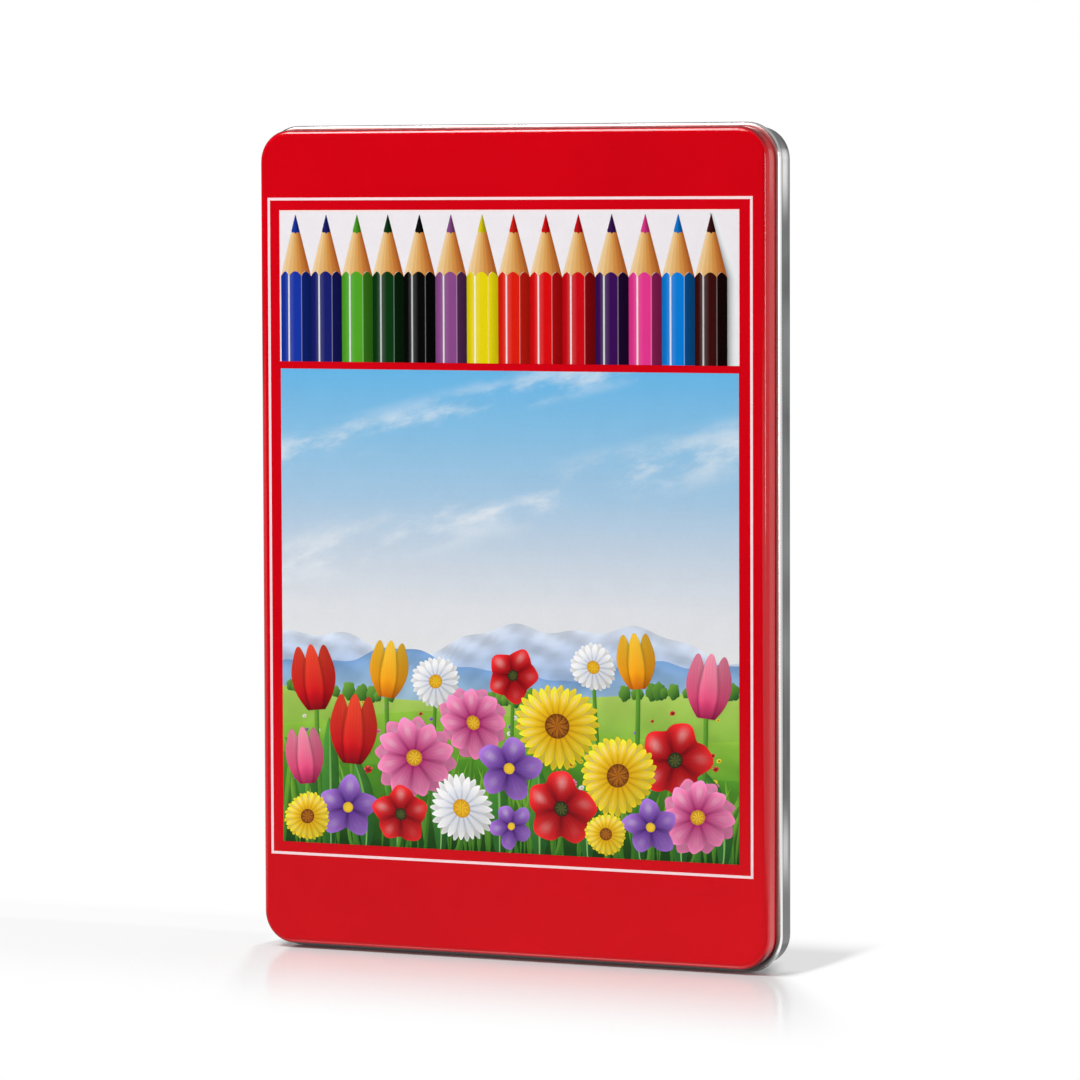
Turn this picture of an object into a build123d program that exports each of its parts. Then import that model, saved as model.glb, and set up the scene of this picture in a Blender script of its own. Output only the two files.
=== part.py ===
"""Hinged sheet-steel tin that holds one flat row of coloured pencils.

The pieces are drawn with the tin on its back: +Z is the way the lid faces, +Y runs along the
pencils towards their tips, the hinge is along the long side at -X, and the origin is the centre of
the back panel's outer face.  They are saved with the tin standing on its short side: +Z runs
towards the tips, the lid faces -Y, and the origin is the bottom centre of the whole tin.  All
sizes are in millimetres.
"""

from build123d import *
import math
import os

# ---- pencils -------------------------------------------------------------------------------
PENCIL_COUNT = 12
PENCIL_LENGTH = 175.0
PENCIL_FLATS = 7.0  # across the flats of the hexagon
PENCIL_PITCH = 9.9
CORE_DIAMETER = 3.2
CONE_LENGTH = 18.5  # sharpened length, from the point to the highest scallop
POINT_RADIUS = 0.3  # the blunt end of the point
CONE_SPARE = 0.2  # the sharpener's cone starts this far outside the corners

# ---- sheets and running gaps -----------------------------------------------------------------
SHEET = 0.3  # tinplate
TRAY_SHEET = 0.4  # formed plastic
GROOVE_CLEAR = 0.16  # between a pencil's corners and its groove
GROOVE_END_CLEAR = 1.0  # between a pencil's end and the end of its groove
TRAY_FIT = 0.3  # between the tray and the folded edge of the base
NECK_FIT = 0.3  # between the neck of the base and the hem of the lid
PENCIL_SEAT = 0.03  # left between a pencil's lower corners and its groove
LAP = 4.0  # how far the section of a wall reaches in over the flat panel that it is joined to
ROUND_SHARE = 0.98  # share of a half-round that is rounded, so that a sliver stays flat
FOLD_SHARE = 0.9  # the same for the folded edges

# ---- pencil tray -----------------------------------------------------------------------------
TRAY_BORDER = 2.8  # flat land beside the outer grooves
TRAY_END_BORDER = 2.7  # flat land beyond the ends of the grooves
TRAY_STAND = 1.5  # the grooves hang this far above the back panel
TROUGH_WIDTH = 27.0  # finger trough across the grooves

# ---- tin body ----------------------------------------------------------------------------------
CORNER_RADIUS = 7.2
LID_EDGE_RADIUS = 1.5
BASE_EDGE_RADIUS = 1.2
LID_SKIRT = 4.45  # height of the lid's side, outside
LID_GAP = 0.4  # dark line between the lid and the bead
BEAD_RADIUS = 1.0  # half-round bead on the base
HEM_DEPTH = 1.5
NECK_HEADROOM = 0.8  # between the neck's folded edge and the inside of the lid

# ---- liner in the lid ----------------------------------------------------------------------------
LINER_THICKNESS = 3.0
LINER_GAP = 0.45  # between the pencils and the liner
LINER_INSET = 3.0  # from the edge of the tray
LINER_CORNER = 6.0

# ---- hinge ---------------------------------------------------------------------------------------
HINGE_SPACING = 112.0  # between the middles of the two hinges
PIN_RADIUS = 0.6
PIN_RUNNING_GAP = 0.05  # radial, in the lid's knuckle
PIN_TIGHT_GAP = 0.01  # radial, in the base's knuckles
BARREL_GAP = 0.15  # between the barrel and the wall of the base
LID_KNUCKLE = 8.0
BASE_KNUCKLE = 6.0
KNUCKLE_GAP = 0.3
NOTCH_GAP = 0.8  # from the barrel's ends to the cut ends of the bead
STRAP_LENGTH = 2.7  # from the bead's or lid's edge to the end of the strap's crank
STRAP_CRANK = 0.6  # height of the slanting part of a strap

# ---- worked out from the sizes above ---------------------------------------------------------------
PENCIL_RADIUS = PENCIL_FLATS / 2 / math.cos(math.pi / 6)  # over the corners
PENCIL_END = PENCIL_LENGTH / 2
CORE_RADIUS = CORE_DIAMETER / 2
CONE_TAPER = (PENCIL_RADIUS - POINT_RADIUS) / CONE_LENGTH
CORE_SHOULDER = PENCIL_END - (CORE_RADIUS - POINT_RADIUS) / CONE_TAPER  # where the bare core starts
GROOVE_RADIUS = PENCIL_RADIUS + GROOVE_CLEAR
HEM = 2 * SHEET
FOLD_ROUND = FOLD_SHARE * SHEET
NECK_INSET = HEM + NECK_FIT
RIM = NECK_INSET + HEM  # from the outline to the inside of the neck's folded edge

GROOVES_WIDTH = (PENCIL_COUNT - 1) * PENCIL_PITCH + 2 * GROOVE_RADIUS
GROOVE_LENGTH = PENCIL_LENGTH + 2 * GROOVE_END_CLEAR
TRAY_WIDTH = GROOVES_WIDTH + 2 * TRAY_BORDER
TRAY_LENGTH = GROOVE_LENGTH + 2 * TRAY_END_BORDER
TIN_WIDTH = TRAY_WIDTH + 2 * (TRAY_FIT + RIM)
TIN_LENGTH = TRAY_LENGTH + 2 * (TRAY_FIT + RIM)

TRAY_TOP = SHEET + TRAY_STAND + TRAY_SHEET + GROOVE_RADIUS
PENCIL_DROP = math.sqrt((GROOVE_RADIUS - PENCIL_SEAT) ** 2 - (PENCIL_RADIUS / 2) ** 2) - PENCIL_FLATS / 2
PENCIL_Z = TRAY_TOP - PENCIL_DROP
LINER_Z = PENCIL_Z + PENCIL_FLATS / 2 + LINER_GAP
LID_INSIDE = LINER_Z + LINER_THICKNESS
TIN_DEPTH = LID_INSIDE + SHEET

LID_EDGE_Z = TIN_DEPTH - LID_SKIRT
BEAD_HIGH = LID_EDGE_Z - LID_GAP
BEAD_Z = BEAD_HIGH - BEAD_RADIUS
BEAD_LOW = BEAD_Z - BEAD_RADIUS
NECK_TOP = LID_INSIDE - NECK_HEADROOM

KNUCKLE_RADIUS = PIN_RADIUS + PIN_RUNNING_GAP + SHEET
BARREL_OFFSET = BARREL_GAP + KNUCKLE_RADIUS  # outwards from the wall to the pin's axis
BARREL_LENGTH = LID_KNUCKLE + 2 * (KNUCKLE_GAP + BASE_KNUCKLE)
BARREL_REACH = BARREL_OFFSET + KNUCKLE_RADIUS  # how far the barrel stands out from the wall

# Stands the drawn tin on its short side, with the bottom centre of its bounding box at the origin.
UPRIGHT = Pos(
    (BARREL_REACH - BEAD_RADIUS) / 2, TIN_DEPTH / 2, TIN_LENGTH / 2 + BEAD_RADIUS
) * Rot(90, 0, 0)


def outline(inset, corner=CORNER_RADIUS):
    """The tin's rounded rectangle, drawn in by the inset."""
    return RectangleRounded(TIN_WIDTH - 2 * inset, TIN_LENGTH - 2 * inset, corner - inset)


def panel(low, thickness, inset):
    """A flat sheet of the tin's outline."""
    return Pos(0, 0, low) * extrude(outline(inset), thickness)


def around_tin(section):
    """Carries a section round the tin's outline.

    The section's x is the distance outwards from the outline and its y is the height.
    """
    straight_x = TIN_WIDTH - 2 * CORNER_RADIUS
    straight_y = TIN_LENGTH - 2 * CORNER_RADIUS
    upright = Plane.XZ * section
    wall = Part()
    for turn, reach, run in (
        (0, TIN_WIDTH / 2, straight_y),
        (90, TIN_LENGTH / 2, straight_x),
        (180, TIN_WIDTH / 2, straight_y),
        (270, TIN_LENGTH / 2, straight_x),
    ):
        wall += Rot(0, 0, turn) * Pos(reach, 0, 0) * extrude(upright, run / 2, both=True)
    corner = revolve(Pos(CORNER_RADIUS, 0, 0) * upright, Axis.Z, 90)
    for turn, side_x, side_y in ((0, 1, 1), (90, -1, 1), (180, -1, -1), (270, 1, -1)):
        wall += Pos(side_x * straight_x / 2, side_y * straight_y / 2, 0) * Rot(0, 0, turn) * corner
    return wall


def base_section():
    """Wall of the base: rolled edge, half-round bead, neck and folded top edge."""
    outer_round = ROUND_SHARE * BEAD_RADIUS
    inner_round = outer_round - SHEET
    corners = (
        ((-LAP, 0), 0),
        ((0, 0), BASE_EDGE_RADIUS),
        ((0, BEAD_LOW), 0),
        ((BEAD_RADIUS, BEAD_LOW), outer_round),
        ((BEAD_RADIUS, BEAD_HIGH), outer_round),
        ((-NECK_INSET, BEAD_HIGH), 0),
        ((-NECK_INSET, NECK_TOP), FOLD_ROUND),
        ((-RIM, NECK_TOP), FOLD_ROUND),
        ((-RIM, NECK_TOP - HEM_DEPTH), 0),
        ((-NECK_INSET - SHEET, NECK_TOP - HEM_DEPTH), 0),
        ((-NECK_INSET - SHEET, BEAD_HIGH - SHEET), 0),
        ((BEAD_RADIUS - SHEET, BEAD_HIGH - SHEET), inner_round),
        ((BEAD_RADIUS - SHEET, BEAD_LOW + SHEET), inner_round),
        ((-SHEET, BEAD_LOW + SHEET), 0),
        ((-SHEET, SHEET), BASE_EDGE_RADIUS - SHEET),
        ((-LAP, SHEET), 0),
    )
    points, rounds = zip(*corners)
    return make_face(FilletPolyline(*points, radius=rounds, close=True))


def lid_section():
    """Side of the lid: rolled edge, skirt and inward hem."""
    corners = (
        ((-LAP, TIN_DEPTH), 0),
        ((0, TIN_DEPTH), LID_EDGE_RADIUS),
        ((0, LID_EDGE_Z), FOLD_ROUND),
        ((-HEM, LID_EDGE_Z), FOLD_ROUND),
        ((-HEM, LID_EDGE_Z + HEM_DEPTH), 0),
        ((-SHEET, LID_EDGE_Z + HEM_DEPTH), 0),
        ((-SHEET, LID_INSIDE), LID_EDGE_RADIUS - SHEET),
        ((-LAP, LID_INSIDE), 0),
    )
    points, rounds = zip(*corners)
    return make_face(FilletPolyline(*points, radius=rounds, close=True))


def knuckle_section(strap_end, up, bore):
    """A strap cranked out of the tin's side and curled round the pin.

    strap_end is the height of the strap's root and up is 1 for the lid or -1 for the base.
    """
    near, far = BARREL_GAP, BARREL_GAP + SHEET
    crank = strap_end - up * STRAP_CRANK
    strap = make_face(
        Polyline(
            (-SHEET, strap_end),
            (0, strap_end),
            (far, crank),
            (far, BEAD_Z),
            (near, BEAD_Z),
            (near, crank - up * SHEET),
            (-SHEET, strap_end - up * SHEET),
            close=True,
        )
    )
    curl = Pos(BARREL_OFFSET, BEAD_Z) * Circle(KNUCKLE_RADIUS)
    return strap + curl - Pos(BARREL_OFFSET, BEAD_Z) * Circle(bore)


def on_hinge_side(section, middle, length):
    """Runs a section along Y on the tin's -X side."""
    side = Pos(-TIN_WIDTH / 2, middle, 0) * Rot(0, 0, 180)
    return side * extrude(Plane.XZ * section, length / 2, both=True)


def hinge_middles():
    """Places of the two hinges along Y."""
    return (-HINGE_SPACING / 2, HINGE_SPACING / 2)


def make_base():
    """Bare steel base with its bead cut away at the hinges and a knuckle at each end of a barrel."""
    base = panel(0, SHEET, LAP) + around_tin(base_section())
    notch_length = BARREL_LENGTH + 2 * NOTCH_GAP
    bead_face = Pos(BEAD_RADIUS, BEAD_Z) * Rectangle(2 * BEAD_RADIUS, 2 * BEAD_RADIUS)
    flat_wall = Pos(-SHEET / 2, BEAD_Z) * Rectangle(SHEET, 2 * BEAD_RADIUS)
    curl = knuckle_section(BEAD_LOW - STRAP_LENGTH, -1, PIN_RADIUS + PIN_TIGHT_GAP)
    knuckle_step = (LID_KNUCKLE + BASE_KNUCKLE) / 2 + KNUCKLE_GAP
    for middle in hinge_middles():
        base -= on_hinge_side(bead_face, middle, notch_length)
        base += on_hinge_side(flat_wall, middle, notch_length)
        for side in (-1, 1):
            base += on_hinge_side(curl, middle + side * knuckle_step, BASE_KNUCKLE)
    return base


def make_lid():
    """Lacquered lid with the middle knuckle of each hinge."""
    lid = panel(LID_INSIDE, SHEET, LAP) + around_tin(lid_section())
    curl = knuckle_section(LID_EDGE_Z + STRAP_LENGTH, 1, PIN_RADIUS + PIN_RUNNING_GAP)
    for middle in hinge_middles():
        lid += on_hinge_side(curl, middle, LID_KNUCKLE)
    return lid


def make_pin(middle):
    """Wire pin of one hinge."""
    wire = Pos(BARREL_OFFSET, BEAD_Z) * Circle(PIN_RADIUS)
    return on_hinge_side(wire, middle, BARREL_LENGTH)


def groove(position, growth):
    """Round channel of one pencil, grown by the sheet's thickness for the underside."""
    length = GROOVE_LENGTH + 2 * growth
    return Pos(position, 0, TRAY_TOP) * Rot(90, 0, 0) * Cylinder(GROOVE_RADIUS + growth, length)


def trough(growth):
    """Finger trough across all the grooves, whose floor stands on the back panel."""
    low = SHEET + TRAY_SHEET - growth
    width = GROOVES_WIDTH + 2 * growth
    block = Box(width, TROUGH_WIDTH + 2 * growth, 2 * (TRAY_TOP - low))
    return Pos(0, 0, TRAY_TOP) * block


def pencil_places():
    """Places of the pencils across the tin."""
    return [(i - (PENCIL_COUNT - 1) / 2) * PENCIL_PITCH for i in range(PENCIL_COUNT)]


def make_tray():
    """Formed plastic tray: one sheet that dips into a groove for each pencil."""
    corner = CORNER_RADIUS - RIM
    height = TRAY_TOP - SHEET
    outside = extrude(RectangleRounded(TRAY_WIDTH, TRAY_LENGTH, corner), height)
    inside = extrude(
        RectangleRounded(TRAY_WIDTH - 2 * TRAY_SHEET, TRAY_LENGTH - 2 * TRAY_SHEET, corner - TRAY_SHEET),
        height - TRAY_SHEET,
    )
    upper = Pos(0, 0, SHEET) * outside - trough(0)
    lower = Pos(0, 0, SHEET) * inside - trough(TRAY_SHEET)
    for place in pencil_places():
        upper -= groove(place, 0)
        lower -= groove(place, TRAY_SHEET)
    return upper - lower


def make_casing():
    """Six-sided wooden casing, sharpened so that the cone cuts a scallop into each flat."""
    outside = PENCIL_RADIUS + CONE_SPARE
    profile = Polyline(
        (CORE_RADIUS, -PENCIL_END),
        (outside, -PENCIL_END),
        (outside, PENCIL_END - CONE_LENGTH - CONE_SPARE / CONE_TAPER),
        (CORE_RADIUS, CORE_SHOULDER),
        close=True,
    )
    envelope = revolve(make_face(profile), Axis.Y, 360)
    prism = Rot(90, 0, 0) * extrude(RegularPolygon(PENCIL_RADIUS, 6), PENCIL_END, both=True)
    return prism & envelope


def make_core():
    """Coloured core, running from the flat butt to the point."""
    profile = Polyline(
        (0, -PENCIL_END),
        (CORE_RADIUS, -PENCIL_END),
        (CORE_RADIUS, CORE_SHOULDER),
        (POINT_RADIUS, PENCIL_END),
        (0, PENCIL_END),
        close=True,
    )
    return revolve(make_face(profile), Axis.Y, 360)


def make_liner():
    """Soft sheet glued inside the lid, which keeps the pencils in their grooves."""
    flat = RectangleRounded(TRAY_WIDTH - 2 * LINER_INSET, TRAY_LENGTH - 2 * LINER_INSET, LINER_CORNER)
    return Pos(0, 0, LINER_Z) * extrude(flat, LINER_THICKNESS)


def save(name, shape):
    """Stands one piece up and writes it under its name."""
    placed = UPRIGHT * shape
    placed.label = name
    export_step(placed, f"parts/{name}.step")


def main():
    os.makedirs("parts", exist_ok=True)
    save("base_shell", make_base())
    save("lid_shell", make_lid())
    save("lid_liner", make_liner())
    save("pencil_tray", make_tray())
    for name, middle in zip(("lower", "upper"), hinge_middles()):
        save(f"hinge_pin_{name}", make_pin(middle))
    casing, core = make_casing(), make_core()
    for number, place in enumerate(pencil_places(), start=1):
        save(f"pencil_{number:02d}_casing", Pos(place, 0, PENCIL_Z) * casing)
        save(f"pencil_{number:02d}_core", Pos(place, 0, PENCIL_Z) * core)
    print(f"tin {TIN_WIDTH:.2f} x {TIN_LENGTH:.2f} x {TIN_DEPTH:.2f}, bead at {BEAD_Z:.2f}")


main()
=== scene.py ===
"""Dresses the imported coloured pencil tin: finishes, printed lid, foam liner, floor, light and camera.

Lengths in the dataclasses are millimetres in the part's own frame: X to the right along the face,
Y away from the viewer and Z up.  Those of the studio are metres, as are the finished meshes.
"""

from __future__ import annotations

import logging
import math
from dataclasses import dataclass, field
from enum import Enum
from typing import Any, Sequence

import bpy
import numpy as np
from mathutils import Matrix, Vector

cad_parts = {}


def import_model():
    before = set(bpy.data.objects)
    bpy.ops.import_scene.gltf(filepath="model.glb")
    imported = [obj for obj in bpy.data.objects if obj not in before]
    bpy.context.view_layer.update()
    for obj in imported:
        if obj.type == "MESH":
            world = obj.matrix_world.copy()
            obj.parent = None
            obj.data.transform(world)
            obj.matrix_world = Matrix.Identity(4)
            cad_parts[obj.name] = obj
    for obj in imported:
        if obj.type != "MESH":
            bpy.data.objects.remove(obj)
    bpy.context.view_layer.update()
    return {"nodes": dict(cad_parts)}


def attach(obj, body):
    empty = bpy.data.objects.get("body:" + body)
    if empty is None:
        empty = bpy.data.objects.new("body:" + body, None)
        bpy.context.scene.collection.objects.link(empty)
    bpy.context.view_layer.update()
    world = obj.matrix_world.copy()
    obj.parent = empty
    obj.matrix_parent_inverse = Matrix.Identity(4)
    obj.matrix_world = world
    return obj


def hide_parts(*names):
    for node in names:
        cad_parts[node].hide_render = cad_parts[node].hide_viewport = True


LOG = logging.getLogger("pencil_tin")
MILLIMETRE = 0.001
Array = np.ndarray
Socket = bpy.types.NodeSocket
Rgb = tuple[int, int, int]
Reach = tuple[float, float]
WHITE: Rgb = (255, 255, 255)
NOISE_RANGE: Reach = (0.3, 0.7)  # most of a noise lies between these values


class Body(Enum):
    """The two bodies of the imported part."""

    BASE = "base"
    LID = "lid"


def tone(colour: Rgb) -> Array:
    """Linear colour of an 8-bit display colour.

    Args:
        colour: Red, green and blue from 0 to 255.

    Returns:
        Three linear values.
    """
    value = np.array(colour, float) / 255
    return np.where(value <= 0.04045, value / 12.92, ((value + 0.055) / 1.055) ** 2.4)


def between(first: Array, second: Array, share: Array) -> Array:
    """Colours on the way from the first to the second.

    Args:
        first: Colour, or an array of colours, where the share is 0.
        second: The same where the share is 1.
        share: Array of shares, cut to the range from 0 to 1.

    Returns:
        Array with the shape of the share and a last axis of three.
    """
    part = np.clip(share, 0, 1)[..., None]
    return first * (1 - part) + second * part


def ramp(places: Array, stops: Sequence[float], colours: Array) -> Array:
    """Colours read from a row of stops.

    Args:
        places: Array of places on the row.
        stops: Rising places of the stops.
        colours: One colour for each stop.

    Returns:
        Array with the shape of the places and a last axis of three.
    """
    return np.stack([np.interp(places, stops, colours[:, part]) for part in range(3)], axis=-1)


def stops_tone(places: Array, stops: tuple[tuple[float, Rgb], ...]) -> Array:
    """Colours read from a row of stops that are given as display colours.

    Args:
        places: Array of places on the row.
        stops: Rising places, each with its colour.

    Returns:
        Array with the shape of the places and a last axis of three.
    """
    return ramp(places, [place for place, _ in stops], np.array([tone(colour) for _, colour in stops]))


# ---- node boards ---------------------------------------------------------------------------------


class Board:
    """A shader node tree that is being wired."""

    def __init__(self, tree: bpy.types.NodeTree) -> None:
        """Takes the node tree of a material, a world or a group."""
        self.tree = tree

    def add(self, kind: str, feeds: dict[Any, Any] | None = None, **settings: Any) -> bpy.types.Node:
        """Adds a node.

        Args:
            kind: Blender's name of the node type.
            feeds: Values, linear colours or sockets for its inputs, by name or number.
            **settings: Properties of the node.

        Returns:
            The new node.
        """
        node = self.tree.nodes.new(kind)
        for name, value in settings.items():
            setattr(node, name, value)
        for key, value in (feeds or {}).items():
            if isinstance(value, Socket):
                self.tree.links.new(value, node.inputs[key])
            else:
                node.inputs[key].default_value = (*value, 1.0) if isinstance(value, Array) else value
        return node

    def math(self, operation: str, *values: Any, clamp: bool = False) -> Socket:
        """Adds a Math node and returns its result.

        Args:
            operation: Name of the operation.
            *values: Numbers or sockets.
            clamp: Whether the result is cut to the range from 0 to 1.

        Returns:
            The result socket.
        """
        feeds = dict(enumerate(values))
        return self.add("ShaderNodeMath", feeds, operation=operation, use_clamp=clamp).outputs[0]

    def times(self, first: Any, second: Any) -> Socket:
        """Product of two numbers or sockets."""
        return self.math("MULTIPLY", first, second)

    def plus(self, first: Any, second: Any) -> Socket:
        """Sum of two numbers or sockets."""
        return self.math("ADD", first, second)

    def minus(self, first: Any, second: Any) -> Socket:
        """Difference of two numbers or sockets."""
        return self.math("SUBTRACT", first, second)

    def larger(self, first: Any, second: Any) -> Socket:
        """The larger of two numbers or sockets."""
        return self.math("MAXIMUM", first, second)

    def size(self, value: Any) -> Socket:
        """A number without its sign."""
        return self.math("ABSOLUTE", value)

    def vector(self, operation: str, *values: Any, output: int = 0) -> Socket:
        """Adds a Vector Math node.

        Args:
            operation: Name of the operation.
            *values: Vectors or sockets.
            output: Number of the output: 0 for a vector, 1 for a single value.

        Returns:
            The result socket.
        """
        return self.add("ShaderNodeVectorMath", dict(enumerate(values)), operation=operation).outputs[output]

    def mix(self, share: Any, first: Any, second: Any, blend: str = "MIX") -> Socket:
        """Mixes two colours.

        Args:
            share: Number or socket from 0 to 1.
            first: Linear colour or socket where the share is 0.
            second: Linear colour or socket where the share is 1.
            blend: Name of the way of mixing.

        Returns:
            The mixed colour's socket.
        """
        feeds = {0: share, 6: first, 7: second}
        return self.add("ShaderNodeMix", feeds, data_type="RGBA", blend_type=blend).outputs[2]

    def span(self, value: Any, low: float, high: float, start: float = 0.0, end: float = 1.0) -> Socket:
        """Maps a value's range onto another, smoothly at both ends.

        Args:
            value: Number or socket.
            low: Value that gives the start.
            high: Value that gives the end.
            start: Result at the low value.
            end: Result at the high value.

        Returns:
            The result socket.
        """
        feeds = {"Value": value, "From Min": low, "From Max": high, "To Min": start, "To Max": end}
        return self.add("ShaderNodeMapRange", feeds, interpolation_type="SMOOTHSTEP").outputs[0]

    def along(self, length: Any, reach: Reach, start: float = 0.0, end: float = 1.0) -> Socket:
        """Maps a length over a reach.

        Args:
            length: Socket of the length, in metres.
            reach: Lengths that give the start and the end, in millimetres.
            start: Result at the first length.
            end: Result at the second length.

        Returns:
            The result socket.
        """
        return self.span(length, reach[0] * MILLIMETRE, reach[1] * MILLIMETRE, start, end)

    def strip(self, length: Any, rise: Reach, fall: Reach) -> Socket:
        """Mask of a strip: it rises to 1 over one reach of lengths and falls over another."""
        return self.times(self.along(length, rise), self.along(length, fall, 1.0, 0.0))

    def near(self, length: Any, middle: float, fall: Reach) -> Socket:
        """Mask round a middle, in millimetres, that falls from 1 over a reach of distances."""
        return self.along(self.size(self.minus(length, middle * MILLIMETRE)), fall, 1.0, 0.0)

    def noise(self, scale: Any, detail: float = 2.0, rough: float = 0.5, place: Any = None) -> Socket:
        """Noise value.

        Args:
            scale: Features in one metre.
            detail: Number of finer octaves.
            rough: Strength of the finer octaves.
            place: Socket of the coordinates, or none for the object's.

        Returns:
            The value socket.
        """
        feeds = {"Vector": place or self.place(), "Scale": scale, "Detail": detail, "Roughness": rough}
        return self.add("ShaderNodeTexNoise", feeds).outputs["Fac"]

    def place(self) -> Socket:
        """Object coordinates."""
        return self.add("ShaderNodeTexCoord").outputs["Object"]

    def normal(self) -> Sequence[Socket]:
        """The three parts of the object's own normal."""
        return self.split(self.add("ShaderNodeTexCoord").outputs["Normal"])

    def split(self, vector: Any) -> Sequence[Socket]:
        """The three parts of a vector."""
        return self.add("ShaderNodeSeparateXYZ", {0: vector}).outputs

    def greyed(self, colour: Any, value: Any) -> Socket:
        """A colour multiplied by a grey value."""
        grey = self.add("ShaderNodeCombineColor", {0: value, 1: value, 2: value}).outputs[0]
        return self.mix(1.0, colour, grey, "MULTIPLY")

    def effect(self, tree: bpy.types.NodeTree, **feeds: Any) -> Socket:
        """Places a shared effect.

        Args:
            tree: The effect's node group.
            **feeds: Values or sockets of its inputs.

        Returns:
            The group's output.
        """
        return self.add("ShaderNodeGroup", feeds, node_tree=tree).outputs[0]


class EffectBoard(Board):
    """The board of a node group with one output."""

    def __init__(self, name: str, output: str, kind: str = "NodeSocketFloat", **inputs: Any) -> None:
        """Starts the group.

        Args:
            name: Name of the group.
            output: Name of its output.
            kind: Socket type of the output.
            **inputs: Names of its inputs, each with a default number or vector.
        """
        super().__init__(bpy.data.node_groups.new(name, "ShaderNodeTree"))
        face = self.tree.interface
        for label, value in inputs.items():
            sort = "NodeSocketVector" if isinstance(value, tuple) else "NodeSocketFloat"
            face.new_socket(label, in_out="INPUT", socket_type=sort).default_value = value
        face.new_socket(output, in_out="OUTPUT", socket_type=kind)
        self.given = self.add("NodeGroupInput").outputs

    def closed(self, result: Socket) -> bpy.types.NodeTree:
        """Wires the result to the output and returns the finished group."""
        self.add("NodeGroupOutput", {0: result})
        return self.tree


class Effects:
    """Node groups that more than one finish uses, each built once."""

    edge_radius = 0.25 * MILLIMETRE
    edge_match: Reach = (0.88, 0.995)
    edge_breaks: Reach = (0.45, 0.65)

    def __init__(self) -> None:
        """Builds the groups."""
        self.ripple = self._ripple()
        self.streaks = self._streaks()
        self.mottle = self._mottle()
        self.rubbed = self._rubbed()

    @staticmethod
    def _ripple() -> bpy.types.NodeTree:
        """Soft waviness of a lacquered or moulded surface, as a normal.

        Returns:
            The group.
        """
        board = EffectBoard("ripple", "Normal", "NodeSocketVector", Scale=800.0, Height=0.00001)
        feeds = {"Height": board.noise(board.given["Scale"]), "Distance": board.given["Height"]}
        return board.closed(board.add("ShaderNodeBump", feeds).outputs[0])

    @staticmethod
    def _streaks() -> bpy.types.NodeTree:
        """Fine lines along one way: noise read through stretched coordinates, from 0 to 1.

        Returns:
            The group.
        """
        board = EffectBoard("streaks", "Value", Stretch=(1.0, 1.0, 1.0), Scale=1000.0)
        stretched = board.vector("MULTIPLY", board.place(), board.given["Stretch"])
        lines = board.noise(board.given["Scale"], detail=4.0, rough=0.6, place=stretched)
        return board.closed(board.span(lines, *NOISE_RANGE))

    @staticmethod
    def _mottle() -> bpy.types.NodeTree:
        """Soft blotches from the low to the high value.

        Returns:
            The group.
        """
        board = EffectBoard("mottle", "Value", Scale=60.0, Low=0.9, High=1.0)
        given, (low, high) = board.given, NOISE_RANGE
        feeds = {"From Min": low, "From Max": high, "To Min": given["Low"], "To Max": given["High"]}
        feeds["Value"] = board.noise(given["Scale"], detail=3.0)
        return board.closed(board.add("ShaderNodeMapRange", feeds).outputs[0])

    def _rubbed(self) -> bpy.types.NodeTree:
        """Wear where a slightly rounded normal leaves the true one, broken up by noise.

        Returns:
            The group.
        """
        board = EffectBoard("rubbed_edges", "Mask", Amount=0.3, Scale=900.0)
        rounded = board.add("ShaderNodeBevel", {"Radius": self.edge_radius}, samples=4).outputs[0]
        true = board.add("ShaderNodeNewGeometry").outputs["Normal"]
        match = board.vector("DOT_PRODUCT", rounded, true, output=1)
        breaks = board.noise(board.given["Scale"], detail=3.0)
        edge = board.span(match, *self.edge_match, 1.0, 0.0)
        worn = board.times(edge, board.span(breaks, *self.edge_breaks))
        return board.closed(board.times(worn, board.given["Amount"]))


# ---- finishes ------------------------------------------------------------------------------------


@dataclass(frozen=True)
class Finish:
    """A material of the tin."""

    label: str

    def material(self, effects: Effects) -> bpy.types.Material:
        """Makes the material.

        Args:
            effects: Shared node groups.

        Returns:
            The material with its nodes wired.
        """
        made, board = blank_material(self.label)
        shader = board.add("ShaderNodeBsdfPrincipled", self.sockets(board, effects))
        board.add("ShaderNodeOutputMaterial", {"Surface": shader.outputs[0]})
        return made

    def sockets(self, board: Board, effects: Effects) -> dict[str, Any]:
        """Values and sockets of the Principled shader."""
        raise NotImplementedError


def blank_material(label: str) -> tuple[bpy.types.Material, Board]:
    """Starts a material.

    Args:
        label: Its name.

    Returns:
        The material and the board of its emptied tree.
    """
    made = bpy.data.materials.new(label)
    made.use_nodes = True
    made.node_tree.nodes.clear()
    return made, Board(made.node_tree)


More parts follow.
